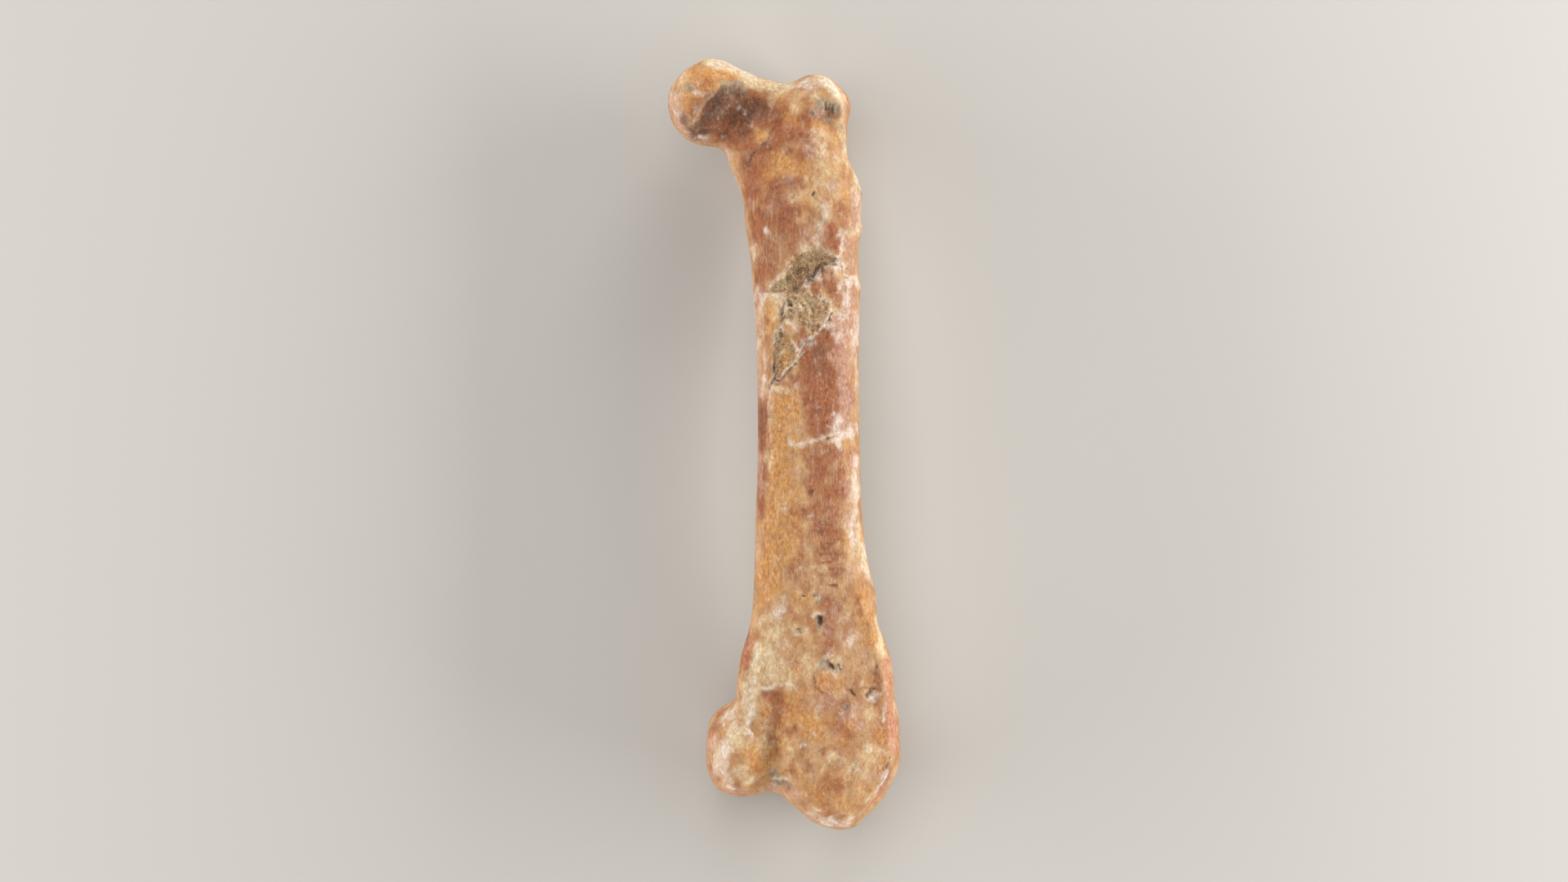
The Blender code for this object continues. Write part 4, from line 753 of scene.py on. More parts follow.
# %% [markdown]
# A finer net where it matters
#
# A crack is only a few tenths of a millimetre wide, less than one quad of the skin. A finer net all over
# would be heavy, so only the faces in the break and near narrow marks are divided once more.

# %% Divide the faces near the break and the narrow marks
BREAK_MARGIN = 1.0
MARK_MARGIN = 0.5
NARROW = 0.5


def depth_inside(polygon, places):
    """How far each place (across, up) lies inside the polygon, below 0 where it is outside."""
    corners = np.array(polygon, float)
    inside = np.zeros(len(places), bool)
    nearest = np.full(len(places), np.inf)
    for a, b in zip(corners, np.roll(corners, -1, axis=0)):
        edge = b - a
        t = np.clip(((places - a) @ edge) / (edge @ edge), 0, 1)
        nearest = np.minimum(nearest, np.linalg.norm(places - (a + t[:, None] * edge), axis=1))
        crosses = (a[1] > places[:, 1]) != (b[1] > places[:, 1])
        if edge[1]:
            meets = a[0] + (places[:, 1] - a[1]) * edge[0] / edge[1]
            inside ^= crosses & (places[:, 0] < meets)
    return np.where(inside, nearest, -nearest)


def across_and_up(points):
    """The frame's millimetres as places on the front."""
    return points[:, :2] + (MIDDLE_ACROSS, MIDDLE_UP)


points = points_of(bone.data)
skin = tree_of(bone.data)
front = normals_of(bone.data)[:, 2] > 0
fine = np.zeros(len(points), bool)
for polygon, *_ in HOLLOWS + FLAKES:
    fine |= front & (depth_inside(polygon, across_and_up(points)) > -BREAK_MARGIN)
for width, _, *path in CRACKS + PITS + LIPS + SWELLS:
    if width < NARROW:
        line, _ = landed(skin, path)
        fine[near(points, line, width + MARK_MARGIN)[0]] = True

bm = bmesh.new()
bm.from_mesh(bone.data)
bm.verts.ensure_lookup_table()
chosen = [edge for edge in bm.edges if fine[edge.verts[0].index] and fine[edge.verts[1].index]]
bmesh.ops.subdivide_edges(bm, edges=chosen, cuts=1, use_grid_fill=True)
bm.to_mesh(bone.data)
bm.free()
print("with the finer places:", len(bone.data.polygons), "faces")

# %% [markdown]
# Relief
#
# Strokes push the skin in or raise it: a dome-shaped one for pits, lips and swells, a V-shaped one for
# cracks. They could be painted as bump, but a bump casts no shadow and vanishes from an exported mesh, so all
# that a fingernail could feel is real shape. Slow noise shifts the skin's points before a mark is drawn on
# them and also varies its depth, so that no mark is even. Blender seeds its noise vectors by the clock unless
# it is given a seed, and the bone should come out the same every time.

# %% Carve hollows, flakes, cracks, pits, lips and swells
HOLLOW_WALL = 0.9
FLAKE_EDGE = 0.25
BREAK_WARP = [(2.0, 0.8), (0.8, 0.45)]
MARK_WARP = [(0.9, 0.3), (0.4, 0.12)]
CRUMB = 0.8
CRUMBLED = 1.2
NOISE_SEED = 2


def warped(points, warps):
    """The points shifted by slow noise of each (size, shift), so that whatever is drawn on them is uneven."""
    shifted = points.copy()
    for size, shift in warps:
        shifted += np.array([noise.noise_vector(Vector(p) / size) for p in points]) * shift
    return shifted


def carve(points, drawn, crumbled, skin, path, radius, depth, pointed=False):
    """Moves the points near a path against the direction that the skin faces there."""
    line, facing = landed(skin, path)
    found, gap = near(drawn, line, radius)
    share = 1 - gap / radius if pointed else (1 - (gap / radius) ** 2) ** 2
    points[found] -= facing * (share * depth * crumbled[found])[:, None]


noise.seed_set(NOISE_SEED)
points = points_of(bone.data)
skin = tree_of(bone.data)
front = normals_of(bone.data)[:, 2] > 0
uneven = warped(points, MARK_WARP)
torn = across_and_up(warped(points, BREAK_WARP))
crumbled = 1 + CRUMBLED * np.array([noise.noise(Vector(p) / CRUMB) for p in points])
for polygon, depth, _ in HOLLOWS:
    points[:, 2] -= np.where(front, smoothstep(depth_inside(polygon, torn) / HOLLOW_WALL) * depth, 0)
for polygon, height in FLAKES:
    share = smoothstep(depth_inside(polygon, across_and_up(uneven)) / FLAKE_EDGE)
    points[:, 2] += np.where(front, share * height, 0)
for radius, depth, *path in PITS + SWELLS:
    carve(points, uneven, crumbled, skin, path, radius, depth)
for radius, height, *path in LIPS:
    carve(points, uneven, crumbled, skin, path, radius, -height)
for width, depth, *path in CRACKS:
    carve(points, uneven, crumbled, skin, path, width, depth, pointed=True)
bone.data.vertices.foreach_set("co", (points * MM).ravel())
bone.data.update()
print(len(CRACKS + PITS + LIPS + SWELLS), "marks carved")

# %% [markdown]
# Paint the washes
#
# Every stroke is landed on the skin and spreads to the vertices near it. Where strokes of one stain cross,
# they add up as thin washes do, towards full. Heights count less than half, so a stroke at the outline also
# runs down the side. A little of some stains is everywhere, and the material's noise turns that into specks.
# Cracks and pits are lined with grime and painted shade, and their lips are worn pale. The back and the lower
# sides don't show in the photo, so there the same stains come from slow noise.

# %% Marks bring their own grime and painted shade, and pale lips
CRACK_GRIME_AND_SHADE = 0.6
CRACK_GRIME_AND_SHADE_WIDTH = 0.8
LEAST_GRIME_AND_SHADE_WIDTH = 0.25
PIT_GRIME_AND_SHADE = 0.25
MOST_PIT_GRIME_AND_SHADE = 0.7
PIT_GRIME_AND_SHADE_WIDTH = 0.9
GAPING = 0.25
CRACK_CHALK = 0.3
LIP_CHALK = 0.45
PIT_CREAM = 0.35
HALO = 2.0

STAINS["grime"] = [
    (CRACK_GRIME_AND_SHADE, max(CRACK_GRIME_AND_SHADE_WIDTH * width, LEAST_GRIME_AND_SHADE_WIDTH), *path) for width, _, *path in CRACKS
]
# deeper pits get darker, as grime and painted shade
STAINS["grime"] += [
    (min(MOST_PIT_GRIME_AND_SHADE, PIT_GRIME_AND_SHADE + depth), PIT_GRIME_AND_SHADE_WIDTH * radius, *path) for radius, depth, *path in PITS
]
STAINS["chalk"] += [(CRACK_CHALK, HALO * width, *path) for width, _, *path in CRACKS if width > GAPING]
STAINS["chalk"] += [(LIP_CHALK, radius, *path) for radius, _, *path in LIPS]
STAINS["cream"] += [(PIT_CREAM, HALO * radius, *path) for radius, _, *path in PITS]
print(len(STAINS["grime"]), "strokes of grime")

# %% Give every vertex its amount of each stain
BROAD = 0.8
BROAD_WARP = [(7.0, 1.0), (2.2, 0.6)]
STROKE_EDGE = 2.0
EVERYWHERE = {"honey": 0.25, "rust": 0.22, "cream": 0.1, "mauve": 0.08, "umber": 0.02}
DOWN_THE_SIDES = 0.4
FAR_OUTSIDE = -9.0
PATCH_WIDTH = 9.0
PATCH_STRETCH = (1, 0.35, 1)
PATCH_SHIFT = 37.0
PATCH_CONTRAST = 1.2
PATCH_ROUGHNESS = 1.0
PATCH_STEP = 2.0
PATCH_OCTAVES = 3
UNSEEN = {
    "honey": 0.9, "cream": 0.5, "rust": 0.8, "salmon": 0.5, "mauve": 0.8, "grey": 0.4, "umber": 0.4,
    "chalk": 0.5, "grime": 0.0,
}
SIDES_FROM = 0.25
SIDES_FADE = 0.65
RIM_WIDTH = 0.9
RIM_AMOUNTS = {"cream": 0.4, "chalk": 0.2}


def unseen_share(normals):
    """0 on the painted front, 1 on the sides and the back."""
    return smoothstep((SIDES_FROM - normals[:, 2]) / SIDES_FADE)


def slow_patches(points, number):
    """Patches of one stain for the parts that the photo doesn't show, longer than wide."""
    shift = Vector((0, 0, PATCH_SHIFT * (number + 1)))
    kind = (PATCH_ROUGHNESS, PATCH_STEP, PATCH_OCTAVES)
    cells = points * PATCH_STRETCH / PATCH_WIDTH
    waves = np.array([noise.fractal(Vector(cell) + shift, *kind) for cell in cells])
    return smoothstep(0.5 + waves * PATCH_CONTRAST)


def store(mesh, name, values):
    """Keeps a number for every vertex under a name that a material or a node tree can read."""
    attribute = mesh.attributes.new(name, "FLOAT", "POINT")
    attribute.data.foreach_set("value", values.astype(np.float32))


points = points_of(bone.data)
normals = normals_of(bone.data)
skin = tree_of(bone.data)
unseen = unseen_share(normals)
broad, narrow = warped(points, BROAD_WARP), warped(points, MARK_WARP)
torn = across_and_up(warped(points, BREAK_WARP))
inside = [np.where(normals[:, 2] > 0, depth_inside(polygon, torn), FAR_OUTSIDE) for polygon, *_ in HOLLOWS]
in_break = np.max([depth for depth, (*_, silt) in zip(inside, HOLLOWS) if silt], axis=0)
flat = (1, 1, DOWN_THE_SIDES)
for number, (stain, strokes) in enumerate(STAINS.items()):
    clean = np.full(len(points), 1 - EVERYWHERE.get(stain, 0.0))
    for amount, radius, *path in strokes:
        line, _ = landed(skin, path)
        found, gap = near((broad if radius >= BROAD else narrow) * flat, line * flat, radius * STROKE_EDGE)
        clean[found] *= 1 - amount * smoothstep(1 - gap / (radius * STROKE_EDGE))
    if stain in RIM_AMOUNTS:
        clean *= 1 - RIM_AMOUNTS[stain] * smoothstep(1 - abs(in_break) / RIM_WIDTH)
    patches = UNSEEN[stain] * slow_patches(points, number)
    store(bone.data, stain, 1 - clean + unseen * (patches - (1 - clean)))
    print(stain, "covers", round(float((1 - clean > 0.5).mean()) * 100, 1), "% of the skin")

# %% [markdown]
# Where the wall is whole, broken or worn
#
# Four more fields steer relief and finish: how deep a vertex lies in the sediment of the break, how much of
# the wall's spongy inside is open there, how much it belongs to the shaft, whose fibres run lengthwise, and
# how hollow or proud it is against its surroundings.

# %% Fields for sediment, spongy wall, shaft, hollowness
SHAFT_FROM = 42.0
SHAFT_TO = 150.0
SHAFT_FADE = 14.0
HOLLOW_ROUNDS = 6
HOLLOW_FULL = 0.15


def spread(mesh, values, rounds):
    """Averages a value for each vertex with its neighbours', several times over."""
    ends = np.empty(len(mesh.edges) * 2, int)
    mesh.edges.foreach_get("vertices", ends)
    a, b = ends.reshape(-1, 2).T
    count = np.bincount(a, minlength=len(values)) + np.bincount(b, minlength=len(values)) + 1
    for _ in range(rounds):
        total = values + np.bincount(a, values[b], len(values)) + np.bincount(b, values[a], len(values))
        values = total / count
    return values


def hollowness(mesh):
    """Above 0 in dips and below 0 on ridges, about 1 where the skin lies far below its surroundings."""
    points, normals = points_of(mesh), normals_of(mesh)
    around = np.stack([spread(mesh, points[:, k], HOLLOW_ROUNDS) for k in range(3)], axis=1)
    return np.clip(((around - points) * normals).sum(axis=1) / HOLLOW_FULL, -1, 1)


covers = np.array([smoothstep(0.5 + depth / (2 * HOLLOW_WALL)) for depth in inside])
sediment = (covers * [[share] for *_, share in HOLLOWS]).max(axis=0)
spongy = covers[1:].max(axis=0)
up = points[:, 1] + MIDDLE_UP
shaft = smoothstep((up - SHAFT_FROM) / SHAFT_FADE) * smoothstep((SHAFT_TO - up) / SHAFT_FADE)
store(bone.data, "sediment", sediment)
store(bone.data, "spongy", spongy)
store(bone.data, "shaft", shaft)
print("sediment covers", round(float(sediment.mean()) * 100, 2), "% of the skin")

# %% [markdown]
# Node trees
#
# Two helpers build every tree here, for geometry and for materials alike. One adds a node with its settings
# and fills its inputs, by value or by link. The other turns a colour as a painter notes it into what Blender
# mixes.

# %% Helpers for nodes and colours
def add(tree, kind, inputs=None, **settings):
    """Adds a node. An input is given by name or number, as a value or as the socket that feeds it."""
    node = tree.nodes.new(kind)
    for name, value in settings.items():
        setattr(node, name, value)
    for key, value in (inputs or {}).items():
        if isinstance(value, bpy.types.NodeSocket):
            tree.links.new(value, node.inputs[key])
        else:
            node.inputs[key].default_value = value
    return node


def linear(code):
    """A hex sRGB colour as linear red, green, blue and alpha."""
    channels = [int(code[k:k + 2], 16) / 255 for k in (1, 3, 5)]
    return (*(c / 12.92 if c <= 0.04045 else ((c + 0.055) / 1.055) ** 2.4 for c in channels), 1.0)


def geometry_tree(name, inputs):
    """A geometry tree with a mesh in, a mesh out, and named inputs between."""
    tree = bpy.data.node_groups.new(name, "GeometryNodeTree")
    tree.interface.new_socket("Geometry", in_out="OUTPUT", socket_type="NodeSocketGeometry")
    tree.interface.new_socket("Geometry", in_out="INPUT", socket_type="NodeSocketGeometry")
    for label, kind in inputs.items():
        tree.interface.new_socket(label, in_out="INPUT", socket_type=kind)
    return tree, tree.nodes.new("NodeGroupInput").outputs


def run_tree(obj, tree, values):
    """Runs a geometry tree on an object and keeps the result as its own mesh."""
    modifier = obj.modifiers.new(tree.name, "NODES")
    modifier.node_group = tree
    for item in tree.interface.items_tree:
        if item.in_out == "INPUT" and item.name in values:
            modifier[item.identifier] = values[item.name]
    take_modifiers(obj)


print("the bone's mean tan in linear red, green and blue:", [round(c, 3) for c in linear("#CB9A64")[:3]])

# %% [markdown]
# Permineralised bone
#
# The wall is bone whose pores were filled with minerals, so it's hard and dense, with the soft shine of worn
# stone. It is dielectric, and its IOR is near that of the mineral that bone is made of, about 1.6. Worn wall
# has a roughness near 0.5, and chalk and sediment scatter more. Its pores swallow part of the reflection, so
# its dark stains stay dark under a big soft light. Noise gives each wash ragged edges, so a thin one breaks
# up into specks. Image textures could show such stains too, but noise has no seams and stays sharp at any
# distance.

# %% Noises that break the washes up
STONE_IOR = 1.6
DULLED = 0.3
MOTTLE = 2.4
MOTTLE_STRETCH = 1.35
MOTTLE_SEEDS = (1.0, 2.0, 3.0)
GRAIN = 0.7
GRAIN_SEED = 4.0
FIBRE_WIDTH = 0.5
FIBRE_STRETCH = 9.0
FIBRE_SEED = 5.0

fossil_bone = bpy.data.materials.new("permineralised_bone")
fossil_bone.use_nodes = True
tree = fossil_bone.node_tree
shader = tree.nodes["Principled BSDF"]
shader.inputs["IOR"].default_value = STONE_IOR
shader.inputs["Specular IOR Level"].default_value = DULLED
place = add(tree, "ShaderNodeTexCoord").outputs["Object"]


def signed_noise(size, stretch, seed, detail, roughness):
    """Three independent noises around 0, whose coarsest waves are that many millimetres wide."""
    scale = (1 / MM / size, 1 / MM / size / stretch, 1 / MM / size)
    where = add(tree, "ShaderNodeMapping", {"Vector": place, "Scale": scale}).outputs[0]
    waves = add(
        tree, "ShaderNodeTexNoise",
        {"Vector": where, "W": seed, "Scale": 1.0, "Detail": detail, "Roughness": roughness},
        noise_dimensions="4D", normalize=False,
    )
    return list(add(tree, "ShaderNodeSeparateColor", {0: waves.outputs["Color"]}).outputs)


breakers = []
for seed in MOTTLE_SEEDS:
    breakers += signed_noise(MOTTLE, MOTTLE_STRETCH, seed, detail=6, roughness=0.66)
grain = signed_noise(GRAIN, MOTTLE_STRETCH, GRAIN_SEED, detail=4, roughness=0.75)
fibre = signed_noise(FIBRE_WIDTH, FIBRE_STRETCH, FIBRE_SEED, detail=3, roughness=0.7)
print(len(breakers + grain + fibre), "noises")

# %% [markdown]
# A wash mixes its stain over the colour below. Its share grows with the painted amount plus a noise, so its
# edge is ragged, and the stain itself varies between a dark and a light colour with a finer noise. The same
# step serves for every wash, for the sediment and, further down, for grime, painted shade, wear and painted
# highlights. Each stain has its own noise, and the ninth one is left for the bare wall.

# %% Lay the washes over the wall
STAIN_FROM = 0.1
STAIN_TO = 0.95
TONE_RANGE = 0.7
WALL_RANGE = 0.5
WALL_COLOURS = ("#AC7A4C", "#C89E6E")
SILT_COLOURS = ("#846849", "#B4956A")
SILT_RAGGED = 0.3
SILT_FROM = 0.25
SILT_TO = 0.75
STAIN_COLOURS = {
    # dark colour, light colour, how ragged its edge is, how much of it can lie on the wall
    "honey": ("#B4722B", "#DA9F58", 0.34, 0.9),
    # cream also paints highlights along crests and facets
    "cream": ("#D3AF78", "#EFDEBA", 0.4, 0.9),
    "rust": ("#7E3F1B", "#A85F31", 0.34, 0.95),
    "salmon": ("#AC5F42", "#D69676", 0.4, 0.85),
    "mauve": ("#AC7A62", "#D0A68F", 0.4, 0.8),
    "grey": ("#786A58", "#AA9B84", 0.34, 0.8),
    # umber carries painted shade as well as dark stain and dirt
    "umber": ("#472818", "#764526", 0.3, 0.94),
    # chalk also paints highlights on facets, crumbs and the outline
    "chalk": ("#D6C0AC", "#F3E8DC", 0.5, 0.75),
}


def washed(tree, under, stain, value, start, full, most=1.0):
    """A stain laid over a colour, and its share.

    The share is nothing where the value is at start, and the most where it's full. The stain is one hex
    colour, or a dark and a light one with the tone that mixes them.
    """
    share = add(
        tree, "ShaderNodeMapRange", {"Value": value, "From Min": start, "From Max": full, "To Max": most},
        interpolation_type="SMOOTHSTEP",
    ).outputs[0]
    if isinstance(stain, str):
        over = linear(stain)
    else:
        dark, light, tone = stain
        ends = {0: tone, 6: linear(dark), 7: linear(light)}
        over = add(tree, "ShaderNodeMix", ends, data_type="RGBA").outputs[2]
    return add(tree, "ShaderNodeMix", {0: share, 6: under, 7: over}, data_type="RGBA").outputs[2], share


fields = {
    name: add(tree, "ShaderNodeAttribute", attribute_name=name).outputs["Fac"]
    for name in (*STAIN_COLOURS, "grime", "sediment", "spongy", "shaft", "hollowness")
}
tones = [
    add(
        tree, "ShaderNodeMapRange", {"Value": wave, "From Min": -TONE_RANGE, "From Max": TONE_RANGE},
        interpolation_type="SMOOTHSTEP",
    ).outputs[0]
    for wave in grain
]
dark, light = WALL_COLOURS
wall, _ = washed(tree, linear(dark), light, breakers[-1], -WALL_RANGE, WALL_RANGE)
edge = add(
    tree, "ShaderNodeMath", {0: breakers[-1], 1: SILT_RAGGED, 2: fields["sediment"]}, operation="MULTIPLY_ADD"
).outputs[0]
wall, silt_share = washed(tree, wall, (*SILT_COLOURS, tones[0]), edge, SILT_FROM, SILT_TO)
shares = {}
for number, (stain, (dark, light, ragged, most)) in enumerate(STAIN_COLOURS.items()):
    edge = add(
        tree, "ShaderNodeMath", {0: breakers[number], 1: ragged, 2: fields[stain]}, operation="MULTIPLY_ADD"
    ).outputs[0]
    tone = tones[number % len(tones)]
    wall, shares[stain] = washed(tree, wall, (dark, light, tone), edge, STAIN_FROM, STAIN_TO, most)
print(len(shares), "washes")

# %% [markdown]
# Last come wear, grime and painted shade. Specks lie in drifts, the shaft has pale and dark fibres, dips and
# pores get painted shade, and ridges, also those between pores, turn pale as wear and painted highlight. Each
# is one more wash, thin and in one colour.

# %% Specks, fibres, wear, painted shade and highlight, and grime
DRIFT_FROM = -0.3
DRIFT_TO = 0.7
GRIME_AND_SHADE_COLOURS = ("#4C3828", "#80694F")
GRIME_AND_SHADE_RAGGED = 0.25
GRIME_AND_SHADE_FROM = 0.25
GRIME_AND_SHADE_TO = 0.9
GRIME_AND_SHADE_MOST = 0.85

drifts = add(
    tree, "ShaderNodeMapRange", {"Value": breakers[4], "From Min": DRIFT_FROM, "From Max": DRIFT_TO},
    interpolation_type="SMOOTHSTEP",
).outputs[0]
specks = add(tree, "ShaderNodeMath", {0: grain[0], 1: drifts}, operation="MULTIPLY").outputs[0]
on_pale = add(tree, "ShaderNodeMath", {0: grain[1], 1: shares["umber"]}, operation="SUBTRACT").outputs[0]
streaks = add(tree, "ShaderNodeMath", {0: fibre[0], 1: fields["shaft"]}, operation="MULTIPLY").outputs[0]
dips = fields["hollowness"]
pores = add(tree, "ShaderNodeMath", {0: dips, 1: fields["spongy"]}, operation="MULTIPLY").outputs[0]
thin_washes = [
    # what it follows, where it starts, where it is full, how much of it there is, colour
    (specks, 0.0, 1.2, 0.3, "#F2DCB4"),
    (specks, 0.0, -1.2, 0.35, "#5A3320"),
    (grain[2], -0.8, -1.3, 0.45, "#5A3A26"),
    (on_pale, 0.9, 1.4, 0.5, "#F4E4CB"),
    (streaks, 0.2, 1.2, 0.3, "#F0D9BC"),
    (streaks, -0.2, -1.2, 0.28, "#6B3A20"),
    # dips get painted shade, and ridges turn pale as wear and painted highlight
    (dips, 0.25, 1.2, 0.3, "#4B3322"),
    (dips, -0.3, -1.2, 0.3, "#EDD6B0"),
    # pores get painted shade, and the ridges between them turn pale as wear and painted highlight
    (pores, 0.1, 0.8, 0.3, "#6E4C30"),
    (pores, -0.1, -0.7, 0.42, "#EBD5B8"),
]
for value, start, full, most, colour in thin_washes:
    wall, _ = washed(tree, wall, colour, value, start, full, most)
# cracks and pits are darkened by grime and painted shade
edge = add(
    tree, "ShaderNodeMath", {0: grain[1], 1: GRIME_AND_SHADE_RAGGED, 2: fields["grime"]}, operation="MULTIPLY_ADD"
).outputs[0]
wall, _ = washed(tree, wall, (*GRIME_AND_SHADE_COLOURS, tones[1]), edge, GRIME_AND_SHADE_FROM, GRIME_AND_SHADE_TO, GRIME_AND_SHADE_MOST)
tree.links.new(wall, shader.inputs["Base Color"])
print(len(thin_washes), "thin washes")

# %% Gloss and bump
WORN_ROUGHNESS = (0.42, 0.6)
CHALK_ROUGHER = 0.25
SILT_ROUGHER = 0.3
FIBRE_BUMP = 0.5
BUMP_STRENGTH = 0.7
BUMP_HEIGHT = 0.12

low, high = WORN_ROUGHNESS
rough = add(tree, "ShaderNodeMapRange", {"Value": tones[2], "To Min": low, "To Max": high}).outputs[0]
for share, rougher in ((shares["chalk"], CHALK_ROUGHER), (silt_share, SILT_ROUGHER)):
    rough = add(
        tree, "ShaderNodeMath", {0: share, 1: rougher, 2: rough}, operation="MULTIPLY_ADD", use_clamp=True
    ).outputs[0]
tree.links.new(rough, shader.inputs["Roughness"])
height = add(
    tree, "ShaderNodeMath", {0: streaks, 1: FIBRE_BUMP, 2: grain[0]}, operation="MULTIPLY_ADD"
).outputs[0]
bump = add(
    tree, "ShaderNodeBump", {"Height": height, "Strength": BUMP_STRENGTH, "Distance": BUMP_HEIGHT * MM}
)
tree.links.new(bump.outputs[0], shader.inputs["Normal"])
print(fossil_bone.name, "has", len(tree.nodes), "nodes")

# %% [markdown]
# Weathered relief
#
# Fibres stand out of the shaft's weathered wall as low ridges of about a tenth of a millimetre, and the ends
# have a soft unevenness. Where the wall is broken open, its spongy inside shows as small pores with ridges
# between them, and the sediment is lumpy. A geometry tree follows every vertex's normal, which no list of
# strokes could do.

# %% Fibres and unevenness by geometry nodes
RELIEF_DETAIL = 2
NOISE_MIDDLE = 0.5

tree, given = geometry_tree("weathered_relief", {
    "Fibre width": "NodeSocketFloat",
    "Fibre length": "NodeSocketFloat",
    "Fibre depth": "NodeSocketFloat",
    "Mottle width": "NodeSocketFloat",
    "Mottle depth": "NodeSocketFloat",
    "Lump width": "NodeSocketFloat",
    "Lump depth": "NodeSocketFloat",
    "Pore width": "NodeSocketFloat",
    "Pore depth": "NodeSocketFloat",
    "Seed": "NodeSocketFloat",
    "Material": "NodeSocketMaterial",
})
where = add(tree, "GeometryNodeInputPosition").outputs[0]
outward = add(tree, "GeometryNodeInputNormal").outputs[0]
total = None
for kind, mask_name in (("Fibre", "shaft"), ("Mottle", "shaft"), ("Lump", "sediment"), ("Pore", "spongy")):
    width = given[kind + " width"]
    length = given["Fibre length"] if kind == "Fibre" else width
    cell = add(tree, "ShaderNodeCombineXYZ", {0: width, 1: length, 2: width}).outputs[0]
    scaled = add(tree, "ShaderNodeVectorMath", {0: where, 1: cell}, operation="DIVIDE").outputs[0]
    if kind == "Pore":
        wave = add(tree, "ShaderNodeTexVoronoi", {"Vector": scaled, "Scale": 1.0}).outputs["Distance"]
    else:
        waves = {"Vector": scaled, "W": given["Seed"], "Scale": 1.0, "Detail": RELIEF_DETAIL}
        wave = add(tree, "ShaderNodeTexNoise", waves, noise_dimensions="4D").outputs[0]
    wave = add(tree, "ShaderNodeMath", {0: wave, 1: NOISE_MIDDLE}, operation="SUBTRACT").outputs[0]
    wave = add(tree, "ShaderNodeMath", {0: wave, 1: given[kind + " depth"]}, operation="MULTIPLY").outputs[0]
    mask = add(tree, "GeometryNodeInputNamedAttribute", {"Name": mask_name}, data_type="FLOAT").outputs[0]
    if kind == "Mottle":
        mask = add(tree, "ShaderNodeMath", {0: 1.0, 1: mask}, operation="SUBTRACT").outputs[0]
    wave = add(tree, "ShaderNodeMath", {0: wave, 1: mask}, operation="MULTIPLY").outputs[0]
    if total is None:
        total = wave
    else:
        total = add(tree, "ShaderNodeMath", {0: total, 1: wave}, operation="ADD").outputs[0]
offset = add(tree, "ShaderNodeVectorMath", {0: outward, 3: total}, operation="SCALE").outputs[0]
moved = add(tree, "GeometryNodeSetPosition", {"Geometry": given["Geometry"], "Offset": offset}).outputs[0]
real = add(tree, "GeometryNodeRealizeInstances", {"Geometry": moved}).outputs[0]
finished = add(tree, "GeometryNodeSetMaterial", {"Geometry": real, "Material": given["Material"]}).outputs[0]
add(tree, "NodeGroupOutput", {"Geometry": finished})

run_tree(bone, tree, {
    "Fibre width": 1.1 * MM,
    "Fibre length": 6.0 * MM,
    "Fibre depth": 0.14 * MM,
    "Mottle width": 1.8 * MM,
    "Mottle depth": 0.2 * MM,
    "Lump width": 1.1 * MM,
    "Lump depth": 0.6 * MM,
    "Pore width": 1.0 * MM,
    "Pore depth": 0.35 * MM,
    "Seed": 4.0,
    "Material": fossil_bone,
})

points = points_of(bone.data)
points[:, 2] = np.maximum(points[:, 2], 0)
bone.data.vertices.foreach_set("co", (points * MM).ravel())
bone.data.update()
store(bone.data, "hollowness", hollowness(bone.data))
bone.data.shade_smooth()
print("bone:", sum(len(p.vertices) - 2 for p in bone.data.polygons), "triangles")

# %% [markdown]
# Sediment grains
#
# The hollows of the break hold grit, cemented where it settled. Every grain shows from a step away, so grains
# are real shapes: small faceted balls, squashed and turned at random, scattered where the sediment field is
# high and half sunk in it. Their tone runs from brown to pale gold, a number that each grain carries along.

# %% The sediment's material
SILT_ROUGHNESS = 0.8
SILT_STOPS = [(0.0, "#8C6F4E"), (0.5, "#AE9069"), (0.85, "#BFA37B"), (1.0, "#D8C4A0")]
SILT_STAINS = {"honey": 0.4, "rust": 0.5, "umber": 0.8, "chalk": 0.5}
SILT_STAIN_FROM = 0.2
SILT_STAIN_TO = 1.0
SILT_GRIME_AND_SHADE = (0.1, 0.8, 0.8)

cemented_silt = bpy.data.materials.new("cemented_sediment")
cemented_silt.use_nodes = True
tree = cemented_silt.node_tree
shader = tree.nodes["Principled BSDF"]
shader.inputs["Roughness"].default_value = SILT_ROUGHNESS
fields = {
    name: add(tree, "ShaderNodeAttribute", attribute_name=name).outputs["Fac"]
    for name in ("tone", "grime", *SILT_STAINS)
}
ramp = add(tree, "ShaderNodeValToRGB", {"Fac": fields["tone"]})
while len(ramp.color_ramp.elements) < len(SILT_STOPS):
    ramp.color_ramp.elements.new(0.5)
for element, (position, code) in zip(ramp.color_ramp.elements, SILT_STOPS):
    element.position = position
    element.color = linear(code)
silt = ramp.outputs[0]
# the bone's washes tint the grains, umber's painted shadow in the break included
for stain, most in SILT_STAINS.items():
    dark, light, *_ = STAIN_COLOURS[stain]
    stained = (dark, light, fields["tone"])
    silt, _ = washed(tree, silt, stained, fields[stain], SILT_STAIN_FROM, SILT_STAIN_TO, most)
# grains in cracks and pits darken with grime and painted shade
silt, _ = washed(tree, silt, GRIME_AND_SHADE_COLOURS[0], fields["grime"], *SILT_GRIME_AND_SHADE)
tree.links.new(silt, shader.inputs["Base Color"])
print(cemented_silt.name, "has", len(tree.nodes), "nodes")

# %% Scatter the grains
SEDIMENT_FROM = 0.3
SMALLEST = (0.15, 0.15, 0.12)
LARGEST = (0.5, 0.4, 0.32)

